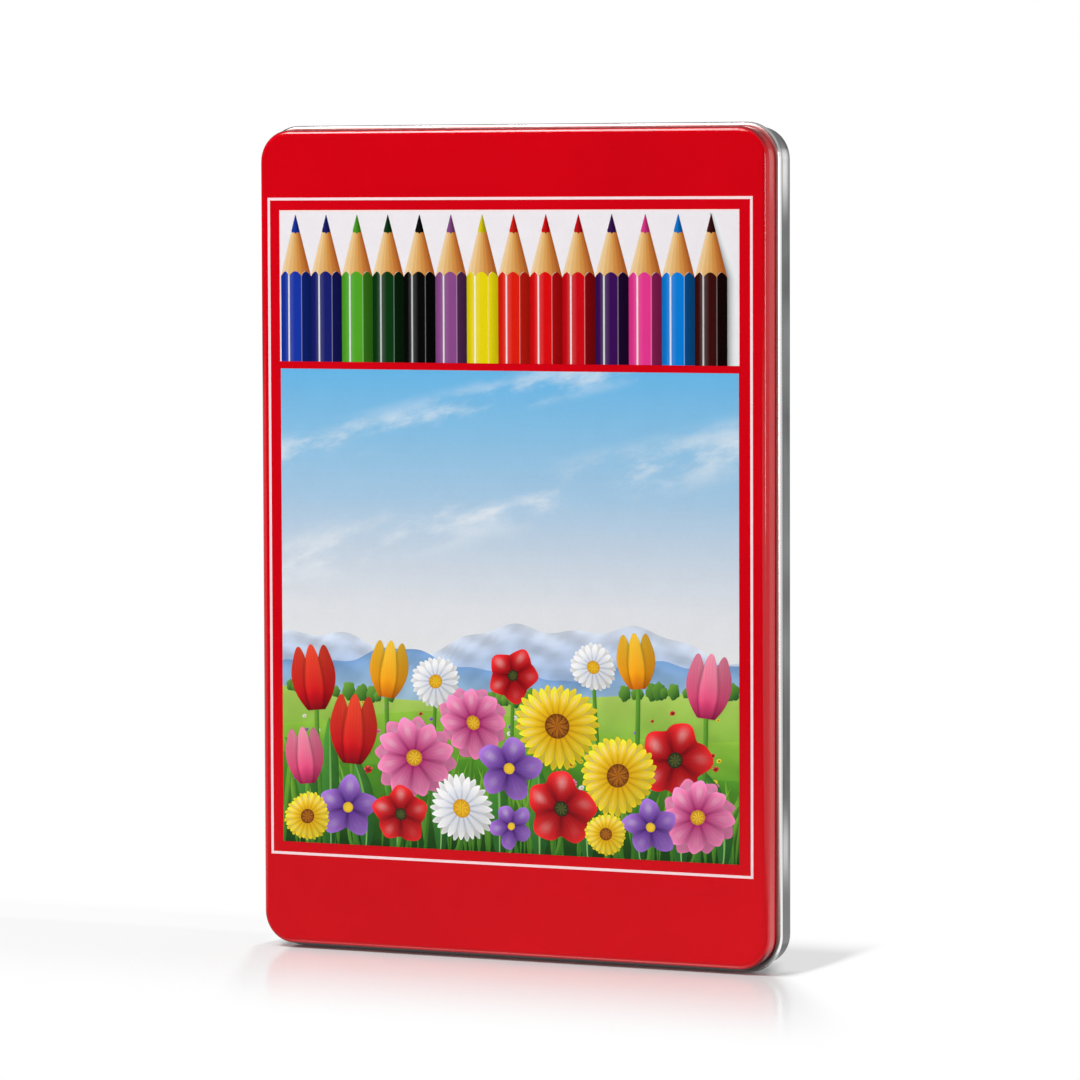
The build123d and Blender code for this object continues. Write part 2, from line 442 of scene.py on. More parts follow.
@dataclass(frozen=True)
class Tinplate(Finish):
    """Bare drawn tinplate: fine lines along the sheet, dull on the wall, painted highlights on the bead.

    Depths from the middle of the tin tell the parts apart: the neck that the lid covers, which has a
    lighter tone as painted light, then the bead with its rougher front, which carries a painted red
    reflection of the lid, and its crest with a painted highlight, then the wall and the back.  Heights
    tell the side walls' bands of painted highlight and the wall's foot of painted shade.
    """

    bright: Rgb = (168, 169, 170)
    dull: Rgb = (98, 98, 100)
    # painted highlight: near-white tone laid on the bead's crest and on bands of the side walls
    painted_highlight: Rgb = (246, 245, 244)
    roughness: float = 0.12
    # painted light: the neck under the lid gets a lighter tone than the wall
    neck: Rgb = (196, 196, 198)
    neck_end: float = -1.93
    # painted reflection: pink-red of the lid on the bead's front, where the bead is also scuffed rougher
    scuff_and_red_reflection: Rgb = (246, 176, 173)
    scuff_and_reflection_depths: Reach = (-1.82, -1.62)
    scuff_and_reflection_heights: Reach = (3.0, 10.0)
    scuffed_roughness: float = 0.3
    crest_rise: Reach = (-1.92, -1.55)
    crest_fall: Reach = (-0.35, 0.02)
    # painted highlights: heights of two near-white bands on the side walls
    highlight_heights: tuple[Reach, ...] = ((17.0, 39.0), (164.0, 190.0))
    highlight_depth: float = 3.1
    highlight_fall: Reach = (0.5, 2.4)
    highlight_share: float = 0.8
    # painted shade: the wall gets a darker tone towards its foot
    foot_shade_heights: Reach = (15.0, 24.0)
    foot_shade_share: float = 0.75
    back: Rgb = (186, 186, 188)
    back_shade: float = 0.84
    back_depths: Reach = (5.8, 6.2)
    back_roughness: float = 0.1
    line_share: float = 0.3
    line_roughness: float = 0.07
    rubbed: Rgb = (232, 232, 232)

    def sockets(self, board: Board, effects: Effects) -> dict[str, Any]:
        """Wires the tinplate.

        Args:
            board: The material's board.
            effects: Shared node groups.

        Returns:
            Feeds of the Principled shader.
        """
        _, depth, height = board.split(board.place())
        lines = board.effect(effects.streaks, Stretch=(1.0, 1.0, 0.012), Scale=2100.0)
        drawn = board.times(lines, self.line_share)
        blotch = board.effect(effects.mottle, Scale=38.0, Low=-0.2, High=0.8)
        colour = board.mix(board.math("ADD", blotch, drawn, clamp=True), tone(self.dull), tone(self.bright))
        colour = self._wall(board, colour, depth, height)
        # painted highlight: a near-white strip along the bead's crest
        crest = board.strip(depth, self.crest_rise, self.crest_fall)
        colour = board.mix(crest, colour, tone(self.painted_highlight))
        # painted reflection of the red lid on the bead's front, which is also made rougher as a scuff
        front = board.along(depth, self.scuff_and_reflection_depths, 1.0, 0.0)
        scuff_and_red_reflection = board.times(front, board.along(height, self.scuff_and_reflection_heights))
        colour = board.mix(scuff_and_red_reflection, colour, tone(self.scuff_and_red_reflection))
        # painted light: a lighter tone on the neck that the lid covers
        covered = board.math("LESS_THAN", depth, self.neck_end * MILLIMETRE)
        colour = board.mix(covered, colour, tone(self.neck))
        patch = board.effect(effects.mottle, Scale=14.0, Low=0.0, High=0.7)
        shade = board.math("ADD", patch, drawn, clamp=True)
        panel = board.mix(shade, tone(self.back) * self.back_shade, tone(self.back))
        behind = board.along(depth, self.back_depths)
        colour = board.mix(behind, colour, panel)
        rub = board.effect(effects.rubbed, Amount=0.4, Scale=500.0)
        rough = board.plus(self.roughness, board.times(behind, self.back_roughness))
        rough = board.plus(rough, board.times(scuff_and_red_reflection, self.scuffed_roughness))
        return {
            "Base Color": board.mix(rub, colour, tone(self.rubbed)),
            "Metallic": 1.0,
            "Roughness": board.plus(rough, board.times(lines, self.line_roughness)),
            "Normal": board.effect(effects.ripple, Scale=45.0, Height=0.00012),
        }

    def _wall(self, board: Board, colour: Socket, depth: Socket, height: Socket) -> Socket:
        """Paints highlights on two bands of the side walls and paints shade on the wall's foot.

        Args:
            board: The material's board.
            colour: Colour of the sheet.
            depth: Y of the place.
            height: Z of the place.

        Returns:
            The colour with both laid over it.
        """
        # painted highlights: near-white bands on the side walls at two heights
        for low, high in self.highlight_heights:
            up = board.near(height, (low + high) / 2, (0.0, (high - low) / 2))
            patch = board.times(up, board.near(depth, self.highlight_depth, self.highlight_fall))
            colour = board.mix(board.times(patch, self.highlight_share), colour, tone(self.painted_highlight))
        # painted shade: darker towards the bottom of the wall
        foot = board.along(height, self.foot_shade_heights, self.foot_shade_share, 0.0)
        return board.mix(foot, colour, tone(self.dull))


@dataclass(frozen=True)
class LidLacquer(Finish):
    """Gloss lacquer on the outside of the lid and bare tinplate inside it.

    The face has its red.  The sides behind its rounded rim have a lighter red, which is painted light,
    and surfaces seen at a glancing angle a darker red, which is painted shade.  The rim has a band of
    painted shade at the top, at the bottom and on the hinge side.  Reaches are depths behind the face,
    and those called turns are shares of a normal or of the facing value.
    """

    face: Rgb = (217, 0, 19)
    shade: Rgb = (206, 0, 17)
    # painted light: a lighter red for the lid's sides behind the rounded rim
    skirt_painted_light: Rgb = (235, 0, 20)
    skirt_depths: Reach = (0.2, 1.1)
    # painted shade: dark red band on the rounded rim at the top, the bottom and the hinge side
    rim_painted_shade: Rgb = (140, 0, 14)
    rolled_rise: Reach = (0.4, 0.7)
    rolled_fall: Reach = (1.3, 1.7)
    rolled_turn: Reach = (0.2, 0.6)
    # painted shade: a darker red where the lacquer is seen at a glancing angle
    grazing_shade: Rgb = (110, 0, 14)
    grazing_turn: Reach = (0.6, 0.8)
    rubbed: Rgb = (235, 70, 70)
    dark_metal: Rgb = (150, 150, 152)
    light_metal: Rgb = (188, 188, 190)
    metal_roughness: float = 0.14
    middle: tuple[float, float, float] = (0.5255, -6.751, 94.0)
    half_size: Reach = (63.2514, 93.0)
    corner: float = 7.2
    roll: float = 1.5
    skin: float = 0.15
    hem_from: float = 2.9

    def _inside(self, board: Board) -> Socket:
        """Mask that is 1 on the inside of the lid.

        How deep a point lies in the sheet is its distance to a box with rounded corners and a
        rolled edge: the root of the squares of the ways past the box's core, sideways and up.
        What lies deeper than half the sheet is the inside, except in the folded hem.

        Args:
            board: The material's board.

        Returns:
            The mask's socket.
        """
        lengths = (self.corner, self.roll, self.roll - self.skin)
        corner, roll, core = (length * MILLIMETRE for length in lengths)
        width, height = ((half - self.corner) * MILLIMETRE for half in self.half_size)
        offset = board.vector("SUBTRACT", board.place(), tuple(value * MILLIMETRE for value in self.middle))
        depth = board.split(offset)[1]
        beyond = board.vector("SUBTRACT", board.vector("ABSOLUTE", offset), (width, 0, height))
        beyond = board.vector("MULTIPLY", board.vector("MAXIMUM", beyond, (0, 0, 0)), (1, 0, 1))
        radial = board.vector("LENGTH", beyond, output=1)
        ways = (board.minus(radial, corner - roll), board.minus(roll, depth))
        sideways, upwards = (board.math("POWER", board.larger(way, 0.0), 2.0) for way in ways)
        below_skin = board.math("LESS_THAN", board.math("SQRT", board.plus(sideways, upwards)), core)
        above_hem = board.math("LESS_THAN", depth, self.hem_from * MILLIMETRE)
        return board.times(below_skin, above_hem)

    def sockets(self, board: Board, effects: Effects) -> dict[str, Any]:
        """Wires the red outside with rubbed edges, painted light and painted shade, and the metal inside.

        Args:
            board: The material's board.
            effects: Shared node groups.

        Returns:
            Feeds of the Principled shader.
        """
        inside = self._inside(board)
        blotch = board.effect(effects.mottle, Scale=25.0, Low=0.0, High=1.0)
        red = board.mix(blotch, tone(self.shade), tone(self.face))
        rub = board.effect(effects.rubbed, Amount=0.15, Scale=700.0)
        red = board.mix(rub, red, tone(self.rubbed))
        depth = board.minus(board.split(board.place())[1], self.middle[1] * MILLIMETRE)
        # painted light: the sides behind the rim get the lighter red
        red = board.mix(board.along(depth, self.skirt_depths), red, tone(self.skirt_painted_light))
        aside, _, up = board.normal()
        turned = board.larger(board.size(up), board.times(aside, -1.0))
        # painted shade: a dark band on the rim where its normal turns up, down or to the hinge side
        band = board.strip(depth, self.rolled_rise, self.rolled_fall)
        band = board.times(band, board.span(turned, *self.rolled_turn))
        red = board.mix(band, red, tone(self.rim_painted_shade))
        # painted shade: the red darkens where the surface is seen at a glancing angle
        facing = board.add("ShaderNodeLayerWeight", {"Blend": 0.5}).outputs["Facing"]
        red = board.mix(board.span(facing, *self.grazing_turn), red, tone(self.grazing_shade))
        lines = board.effect(effects.streaks, Stretch=(1.0, 1.0, 0.02), Scale=2600.0)
        metal = board.mix(lines, tone(self.dark_metal), tone(self.light_metal))
        gloss = board.effect(effects.mottle, Scale=100.0, Low=0.073, High=0.079)
        return {
            "Base Color": board.mix(inside, red, metal),
            "Metallic": inside,
            "Roughness": board.plus(gloss, board.times(inside, self.metal_roughness)),
            "Normal": board.effect(effects.ripple, Scale=300.0, Height=0.000002),
        }


@dataclass(frozen=True)
class PrintInk(Finish):
    """Printing ink under the lid's clear coat; the colour is the piece's own attribute.

    The clouds lie in bands, each with the height of its middle and its reach, and rise by a slant
    in degrees.
    """

    clouds: bool = False
    cloud: Rgb = (238, 242, 246)
    cloud_share: float = 0.8
    cloud_slant: float = 14.0
    cloud_bands: tuple[Reach, ...] = ((99.5, 8.5), (123.5, 6.0))
    cloud_stretch: tuple[float, float, float] = (0.55, 1.0, 1.5)
    cloud_edge: Reach = (0.42, 0.62)

    def sockets(self, board: Board, effects: Effects) -> dict[str, Any]:
        """Wires the attribute's colour with a little mottling, and for the sky its drifting clouds.

        Args:
            board: The material's board.
            effects: Shared node groups.

        Returns:
            Feeds of the Principled shader.
        """
        colour = board.add("ShaderNodeAttribute", attribute_name="ink").outputs["Color"]
        if self.clouds:
            colour = self._cloudy(board, colour)
        scales = (180.0, 1500.0)
        soft, fine = (board.effect(effects.mottle, Scale=scale, Low=0.985, High=1.01) for scale in scales)
        return {
            "Base Color": board.greyed(colour, board.times(soft, fine)),
            "Roughness": board.effect(effects.mottle, Scale=300.0, Low=0.1, High=0.15),
            "Normal": board.effect(effects.ripple, Scale=300.0, Height=0.000002),
        }

    def _cloudy(self, board: Board, colour: Socket) -> Socket:
        """Lays white drifts over the sky: noise stretched along a rising slant, kept to two bands.

        Args:
            board: The material's board.
            colour: Colour of the sky.

        Returns:
            The colour with its clouds.
        """
        feeds = {"Vector": board.place(), "Rotation": (0, math.radians(self.cloud_slant), 0)}
        turned = board.add("ShaderNodeMapping", feeds).outputs[0]
        height = board.split(turned)[2]
        drawn_out = board.vector("MULTIPLY", turned, self.cloud_stretch)
        billow = board.noise(62.0, detail=5.0, rough=0.58, place=drawn_out)
        bands: Any = 0.0
        for middle, reach in self.cloud_bands:
            bands = board.larger(bands, board.near(height, middle, (0.0, reach)))
        drift = board.times(bands, board.span(billow, *self.cloud_edge))
        return board.mix(board.times(drift, self.cloud_share), colour, tone(self.cloud))


@dataclass(frozen=True)
class PencilPaint(Finish):
    """Gloss paint on the flats of a casing and bare wood where it is cut.

    It counts as cut where more than a small share of its normal points along the pencil.
    """

    colour: Rgb
    shade: float = 0.93
    dark_wood: Rgb = (206, 150, 92)
    light_wood: Rgb = (236, 190, 132)
    wood_roughness: float = 0.38
    cut_from: float = 0.08

    def sockets(self, board: Board, effects: Effects) -> dict[str, Any]:
        """Wires wood where the surface turns towards the ends, and paint elsewhere.

        Args:
            board: The material's board.
            effects: Shared node groups.

        Returns:
            Feeds of the Principled shader.
        """
        cut = board.math("GREATER_THAN", board.size(board.normal()[2]), self.cut_from)
        grain = board.effect(effects.streaks, Stretch=(1.0, 1.0, 0.06), Scale=1500.0)
        wood = board.mix(grain, tone(self.dark_wood), tone(self.light_wood))
        patch = board.effect(effects.mottle, Scale=60.0, Low=0.0, High=1.0)
        paint = board.mix(patch, tone(self.colour) * self.shade, tone(self.colour))
        wave = board.effect(effects.mottle, Scale=90.0, Low=0.12, High=0.2)
        return {
            "Base Color": board.mix(cut, paint, wood),
            "Roughness": board.plus(wave, board.times(cut, self.wood_roughness)),
            "Normal": board.effect(effects.ripple, Scale=150.0, Height=0.000006),
        }


@dataclass(frozen=True)
class WaxCore(Finish):
    """Waxy coloured core with the rings that a sharpener leaves."""

    colour: Rgb
    ring_shade: float = 0.8
    ring_haze: float = 0.03

    def sockets(self, board: Board, effects: Effects) -> dict[str, Any]:
        """Wires blotchy wax with fine rings round the point.

        Args:
            board: The material's board.
            effects: Shared node groups.

        Returns:
            Feeds of the Principled shader.
        """
        rings = board.effect(effects.streaks, Stretch=(0.05, 0.05, 1.0), Scale=2400.0)
        ring = tone(self.colour) * self.ring_shade + self.ring_haze
        return {
            "Base Color": board.mix(rings, tone(self.colour), ring),
            "Roughness": board.effect(effects.mottle, Scale=1200.0, Low=0.4, High=0.6),
            "Normal": board.effect(effects.ripple, Scale=2500.0, Height=0.00002),
        }


@dataclass(frozen=True)
class FormedPlastic(Finish):
    """Thin vacuum-formed sheet of off-white plastic."""

    colour: Rgb = (226, 225, 221)
    shade: float = 0.88

    def sockets(self, board: Board, effects: Effects) -> dict[str, Any]:
        """Wires a satin sheet, a little greyer in patches.

        Args:
            board: The material's board.
            effects: Shared node groups.

        Returns:
            Feeds of the Principled shader.
        """
        patch = board.effect(effects.mottle, Scale=45.0, Low=0.0, High=1.0)
        return {
            "Base Color": board.mix(patch, tone(self.colour) * self.shade, tone(self.colour)),
            "Roughness": board.effect(effects.mottle, Scale=500.0, Low=0.36, High=0.5),
            "Normal": board.effect(effects.ripple, Scale=350.0, Height=0.00003),
        }


@dataclass(frozen=True)
class FoamSheet(Finish):
    """Soft open foam with small pores."""

    colour: Rgb = (232, 230, 226)
    pore_edge: Reach = (0.1, 0.45)
    pore_shade: float = 0.8
    pore_depth: float = 0.00006

    def sockets(self, board: Board, effects: Effects) -> dict[str, Any]:
        """Wires the pores as dots of painted shade in a cell pattern, which also dent the surface.

        Args:
            board: The material's board.
            effects: Shared node groups.

        Returns:
            Feeds of the Principled shader.
        """
        cells = board.add("ShaderNodeTexVoronoi", {"Vector": board.place(), "Scale": 2600.0})
        pore = board.span(cells.outputs["Distance"], *self.pore_edge)
        # painted shade: the foam is darkened in its pores
        foam = board.mix(pore, tone(self.colour) * self.pore_shade, tone(self.colour))
        soft = board.effect(effects.mottle, Scale=120.0, Low=0.9, High=1.0)
        bump = board.add("ShaderNodeBump", {"Height": pore, "Distance": self.pore_depth})
        return {
            "Base Color": board.greyed(foam, soft),
            "Roughness": board.effect(effects.mottle, Scale=900.0, Low=0.85, High=0.97),
            "Specular IOR Level": 0.2,
            "Normal": bump.outputs[0],
        }


# ---- meshes --------------------------------------------------------------------------------------


def grid_faces(rows: int, columns: int, first: int = 0) -> Array:
    """Quads of a grid of points that is stored row by row.

    Args:
        rows: Number of rows of points.
        columns: Number of points in a row.
        first: Number of the grid's first point.

    Returns:
        Array of quads, four point numbers each, row to row and column to column.
    """
    number = first + np.arange(rows * columns).reshape(rows, columns)
    corners = (number[:-1, :-1], number[:-1, 1:], number[1:, 1:], number[1:, :-1])
    return np.stack([corner.ravel() for corner in corners], axis=1)


def new_piece(
    name: str, points: Array, faces: Array, body: Body, smooth: bool = True
) -> bpy.types.Object:
    """Makes a mesh piece that rides on a body.

    Args:
        name: Name of the piece.
        points: Array of points in millimetres.
        faces: Array of quads.
        body: Body that carries it.
        smooth: Whether its normals are smoothed.

    Returns:
        The new object.
    """
    mesh = bpy.data.meshes.new(name)
    mesh.vertices.add(len(points))
    mesh.vertices.foreach_set("co", (np.asarray(points, float) * MILLIMETRE).ravel())
    mesh.loops.add(faces.size)
    mesh.loops.foreach_set("vertex_index", faces.ravel().astype(np.int32))
    mesh.polygons.add(len(faces))
    mesh.polygons.foreach_set("loop_start", np.arange(0, faces.size, 4, dtype=np.int32))
    mesh.polygons.foreach_set("use_smooth", np.full(len(faces), smooth))
    mesh.update(calc_edges=True)
    mesh.validate()
    piece = bpy.data.objects.new(name, mesh)
    bpy.context.scene.collection.objects.link(piece)
    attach(piece, body.value)
    LOG.info("piece %s: %d points, %d faces", name, len(points), len(faces))
    return piece


# ---- printing ------------------------------------------------------------------------------------


LIGHT_FROM = 2.2  # angle on the face that the drawn light comes from, in radians
FAR_FIELD_WAVE = (2.0, 23.0, -0.8)  # height, length and start of the far field's crest


@dataclass(frozen=True)
class Area:
    """A rectangle on the face."""

    left: float
    right: float
    low: float
    high: float


@dataclass
class Motif:
    """One printed shape: a grid of points on the face and their colours."""

    kind: str
    across: Array
    up: Array
    ink: Array
    lift: float = 0.0

    def touches(self, other: Motif) -> bool:
        """Whether the boxes of two shapes overlap."""
        pairs = ((self.across, other.across), (self.up, other.up))
        return all(mine.min() < its.max() and its.min() < mine.max() for mine, its in pairs)

    def clockwise(self) -> bool:
        """Whether the grid's quads turn clockwise for the viewer.

        Returns:
            True if the cross products of the quads' sides, summed over the grid, are negative.
        """
        along = np.stack([np.diff(self.across[:-1], axis=1), np.diff(self.up[:-1], axis=1)])
        rise = np.stack([np.diff(self.across[:, :-1], axis=0), np.diff(self.up[:, :-1], axis=0)])
        return float((along[0] * rise[1] - along[1] * rise[0]).sum()) < 0


@dataclass
class PrintSheet:
    """Everything printed on the lid's face.

    Shapes that overlap are laid a hair above each other in the order in which they are drawn.
    """

    plane: float = -6.751
    first_lift: float = 0.02
    step: float = 0.0035
    motifs: list[Motif] = field(default_factory=list)

    def draw(self, kind: str, across: Array, up: Array, ink: Array) -> None:
        """Adds a shape above what it overlaps.

        Args:
            kind: Name of the piece that the shape becomes a part of.
            across: Grid of X places.
            up: Grid of Z places.
            ink: Colour, row or grid of colours.
        """
        shape = Motif(kind, across, up, np.broadcast_to(ink, across.shape + (3,)))
        below = [other.lift for other in self.motifs if shape.touches(other)]
        shape.lift = max(below) + self.step if below else self.first_lift
        self.motifs.append(shape)

    def publish(self, effects: Effects) -> None:
        """Makes one piece of each kind.

        Args:
            effects: Shared node groups.
        """
        plain = PrintInk("printed_ink").material(effects)
        cloudy = PrintInk("printed_sky", clouds=True).material(effects)
        for kind in dict.fromkeys(motif.kind for motif in self.motifs):
            piece = self._piece(kind, [motif for motif in self.motifs if motif.kind == kind])
            piece.data.materials.append(cloudy if kind == "sky" else plain)
        LOG.info("print stands %.3f mm proud", max(motif.lift for motif in self.motifs))

    def _piece(self, kind: str, members: list[Motif]) -> bpy.types.Object:
        """Joins the shapes of one kind.

        Args:
            kind: Name of the kind.
            members: The shapes.

        Returns:
            The piece, with the colours in its attribute.
        """
        points, faces, inks, count = [], [], [], 0
        for motif in members:
            level = np.full(motif.across.size, self.plane - motif.lift)
            points.append(np.stack([motif.across.ravel(), level, motif.up.ravel()], axis=1))
            quads = grid_faces(*motif.across.shape, count)
            faces.append(quads[:, ::-1] if motif.clockwise() else quads)
            inks.append(motif.ink.reshape(-1, 3))
            count += motif.across.size
        name = f"print_{kind}"
        piece = new_piece(name, np.concatenate(points), np.concatenate(faces), Body.LID, False)
        ink = piece.data.color_attributes.new("ink", "FLOAT_COLOR", "POINT")
        colours = np.ones((count, 4), np.float32)
        colours[:, :3] = np.clip(np.concatenate(inks), 0, 1)
        ink.data.foreach_set("color", colours.ravel())
        return piece


@dataclass(frozen=True)
class Picture:
    """A part of the sheet that keeps what is drawn on it inside its area."""

    sheet: PrintSheet
    area: Area

    def draw(self, kind: str, across: Array, up: Array, ink: Array) -> None:
        """Draws a shape cut to the area.

        Args:
            kind: Name of the piece that the shape becomes a part of.
            across: Grid of X places.
            up: Grid of Z places.
            ink: Colour, row or grid of colours.
        """
        across = np.clip(across, self.area.left, self.area.right)
        self.sheet.draw(kind, across, np.clip(up, self.area.low, self.area.high), ink)


@dataclass(frozen=True)
class Panels:
    """Flat areas of the print: the line round it and the light panel behind the pencils."""

    line: Area = Area(-60.5, 60.4, 21.5, 171.65)
    line_width: float = 0.62
    line_tone: Rgb = (255, 224, 228)
    panel: Area = Area(-57.45, 57.2, 134.45, 168.8)
    panel_tone: Rgb = (240, 235, 239)
    rim: float = 0.35
    rim_tone: Rgb = (255, 228, 228)
    cells: int = 4

    def draw(self, sheet: PrintSheet) -> None:
        """Draws the line as one closed band, and the panel over its rim.

        Args:
            sheet: Sheet to print on.
        """
        turn = np.array([(0, 0), (1, 0), (1, 1), (0, 1), (0, 0)], float)
        across, up = [], []
        for inset in (0.0, self.line_width):
            across.append(np.where(turn[:, 0] > 0, self.line.right - inset, self.line.left + inset))
            up.append(np.where(turn[:, 1] > 0, self.line.high - inset, self.line.low + inset))
        sheet.draw("keyline", np.array(across), np.array(up), tone(self.line_tone))
        for inset, colour in ((0.0, self.rim_tone), (self.rim, self.panel_tone)):
            sides = np.linspace(self.panel.left + inset, self.panel.right - inset, self.cells + 1)
            heights = np.linspace(self.panel.low, self.panel.high - inset, self.cells + 1)
            sheet.draw("panel", *np.meshgrid(sides, heights), tone(colour))


@dataclass(frozen=True)
class DrawnPencil:
    """One printed pencil: three flats, a wooden cone and a point.

    Dark is the share of its colour that is left on the flat in the shade, and shine the share of
    white on the seam that catches the light.
    """

    point_x: float
    colour: Rgb
    dark: float = 0.3
    shine: float = 0.75


@dataclass(frozen=True)
class PencilRow:
    """The row of printed pencils, side by side with their points up.

    Places across a pencil are shares of its width, from its left edge.
    """

    low: float = Panels.panel.low
    left: float = -57.1
    right: float = 54.3
    point_z: float = 168.0
    point_blunt: float = 0.25
    core_z: float = 163.9
    core_dip: float = 0.3
    core_wave: float = 0.12
    valley_z: float = 153.8
    arch: float = 1.15
    arch_power: float = 0.75
    seams: Reach = (0.26, 0.68)
    shining: Reach = (0.012, 0.035)
    creased: float = 0.02
    glint: float = 0.32
    haze: float = 0.05
    shadow_start: float = 0.4
    shadow_width: float = 2.9
    shadow_narrowing: float = 1.6
    shadow_dark: Rgb = (52, 48, 46)
    shadow_light: Rgb = (238, 239, 240)
    wood: tuple[tuple[float, Rgb], ...] = (
        (0.0, (236, 206, 164)),
        (0.12, (238, 204, 150)),
        (0.3, (230, 184, 118)),
        (0.55, (214, 152, 78)),
        (0.8, (190, 112, 48)),
        (1.0, (160, 82, 28)),
    )
    pencils: tuple[DrawnPencil, ...] = (
        DrawnPencil(-53.3, (21, 53, 164)),
        DrawnPencil(-45.4, (24, 30, 110), 0.4),
        DrawnPencil(-37.5, (80, 165, 36)),
        DrawnPencil(-29.6, (9, 56, 18), 0.25, 0.6),
        DrawnPencil(-21.6, (6, 6, 6), 0.4, 0.6),
        DrawnPencil(-13.65, (138, 74, 136), 0.2),
        DrawnPencil(-5.8, (232, 212, 8), 0.8),
        DrawnPencil(2.06, (222, 28, 8), 0.5),
        DrawnPencil(10.06, (220, 6, 10), 0.42),
        DrawnPencil(18.1, (204, 4, 18), 0.25),
        DrawnPencil(26.3, (58, 12, 84), 0.2),
        DrawnPencil(34.5, (228, 54, 142), 0.22),
        DrawnPencil(42.5, (4, 124, 214), 0.25),
        DrawnPencil(50.47, (58, 12, 10), 0.12, 0.6),
    )

    def draw(self, sheet: PrintSheet) -> None:
        """Draws the shadow at the row's end and then each pencil.

        Args:
            sheet: Sheet to print on.
        """
        self._draw_shadow(sheet)
        points = [pencil.point_x for pencil in self.pencils]
        middles = [(a + b) / 2 for a, b in zip(points, points[1:])]
        edges = [self.left, *middles, self.right]
        for pencil, left, right in zip(self.pencils, edges, edges[1:]):
            self._draw_pencil(sheet, pencil, left, right)

    def _draw_shadow(self, sheet: PrintSheet) -> None:
        """Draws a soft shadow to the right of the last pencil, fading with the square of the way.

        Args:
            sheet: Sheet to print on.
        """
        share, height = np.meshgrid(np.linspace(0, 1, 14), np.linspace(0, 1, 24))
        up = self.low + height * (self.point_z - self.low)
        cone = self._cone_share(up)
        edge = self.right + cone * (self.pencils[-1].point_x - self.right)
        across = edge - self.shadow_start + share * (self.shadow_width - self.shadow_narrowing * cone)
        fade = 1 - (1 - share) ** 2.0 * (1 - 0.45 * cone)
        sheet.draw("panel", across, up, between(tone(self.shadow_dark), tone(self.shadow_light), fade))

    def _draw_pencil(self, sheet: PrintSheet, pencil: DrawnPencil, left: float, right: float) -> None:
        """Draws the flats, the cone and the point, each from one wavy line up to the next.

        The flats run from the bottom to the arches.  The cone narrows in proportion to the way to
        the point, and the point is its coloured end.

        Args:
            sheet: Sheet to print on.
            pencil: The pencil.
            left: Left edge of its body.
            right: Right edge of its body.
        """
        first, second = self.seams
        near, far = self.shining
        bright = [first - far, first - near, first + near, first + far]
        crease = [second - self.creased, second, second + self.creased]
        share = np.union1d(np.linspace(0, 1, 41), bright + crease)
        body = left + (right - left) * share
        low, arches = np.full_like(share, self.low), self._arches(share)
        ripple = self.core_wave * np.cos(share * 6 * math.pi)
        wave = self.core_z - self.core_dip * np.sin(math.pi * share) ** 2 + ripple
        tip = np.full_like(share, self.point_z - self.point_blunt)
        base = tone(pencil.colour)
        paint = ramp(share, [0, first / 2, *bright, 0.45, *crease, 0.84, 1.0], self._paint_tones(pencil))
        core = between(base * 0.9 + 0.004, base * 0.4, (share - 0.2) / 0.6)
        wood = self._wood_tones(share)
        bands = ((low, arches, 4, 0.0, paint), (arches, wave, 10, 1.0, wood), (wave, tip, 8, 1.0, core))
        for lower, upper, rows, drawn_in, ink in bands:
            up = lower + np.linspace(0, 1, rows)[:, None] * (upper - lower)
            across = body + drawn_in * self._cone_share(up) * (pencil.point_x - body)
            sheet.draw("pencils", across, up, ink)

    def _cone_share(self, up: Array) -> Array:
        """Share of the way from the foot of the cones to the points."""
        return np.clip((up - self.valley_z) / (self.point_z - self.valley_z), 0, 1)

    def _arches(self, share: Array) -> Array:
        """Height of the paint's edge: an arch over each flat, with its feet at the seams.

        Args:
            share: Places across the pencil.

        Returns:
            Z of the edge, a power of a sine over each flat.
        """
        cuts = (0.0, *self.seams, 1.0)
        height = np.zeros_like(share)
        for start, end in zip(cuts, cuts[1:]):
            on_flat = (share >= start) & (share <= end)
            local = np.clip((share - start) / (end - start), 0, 1)
            height = np.where(on_flat, np.sin(math.pi * local) ** self.arch_power, height)
        return self.valley_z + self.arch * height

    def _paint_tones(self, pencil: DrawnPencil) -> Array:
        """Colours of the paint at its stops: a lit flat, a shining seam, a glint and the shade.

        Args:
            pencil: The pencil.

        Returns:
            Twelve colours from left to right.
        """
        base, dark = tone(pencil.colour), pencil.dark
        shares = (pencil.shine, pencil.shine * self.glint, self.haze)
        shine, glint, soft = (between(base, tone(WHITE), np.array(share)) for share in shares)
        lit = [base * 0.72, base * 0.95, soft, shine, shine, soft, base]
        return np.array([*lit, base, glint, base * dark * 1.3, base * dark, base * dark * 0.8])

    def _wood_tones(self, share: Array) -> Array:
        """Wood across the cone, light on the left and brown on the right, with grain lines.

        Args:
            share: Places across the pencil.

        Returns:
            Colours, made lighter and darker by two sines for the grain.
        """
        grain = 1 + 0.05 * np.sin(share * 40) + 0.03 * np.sin(share * 73 + 1)
        return stops_tone(share, self.wood) * grain[:, None]


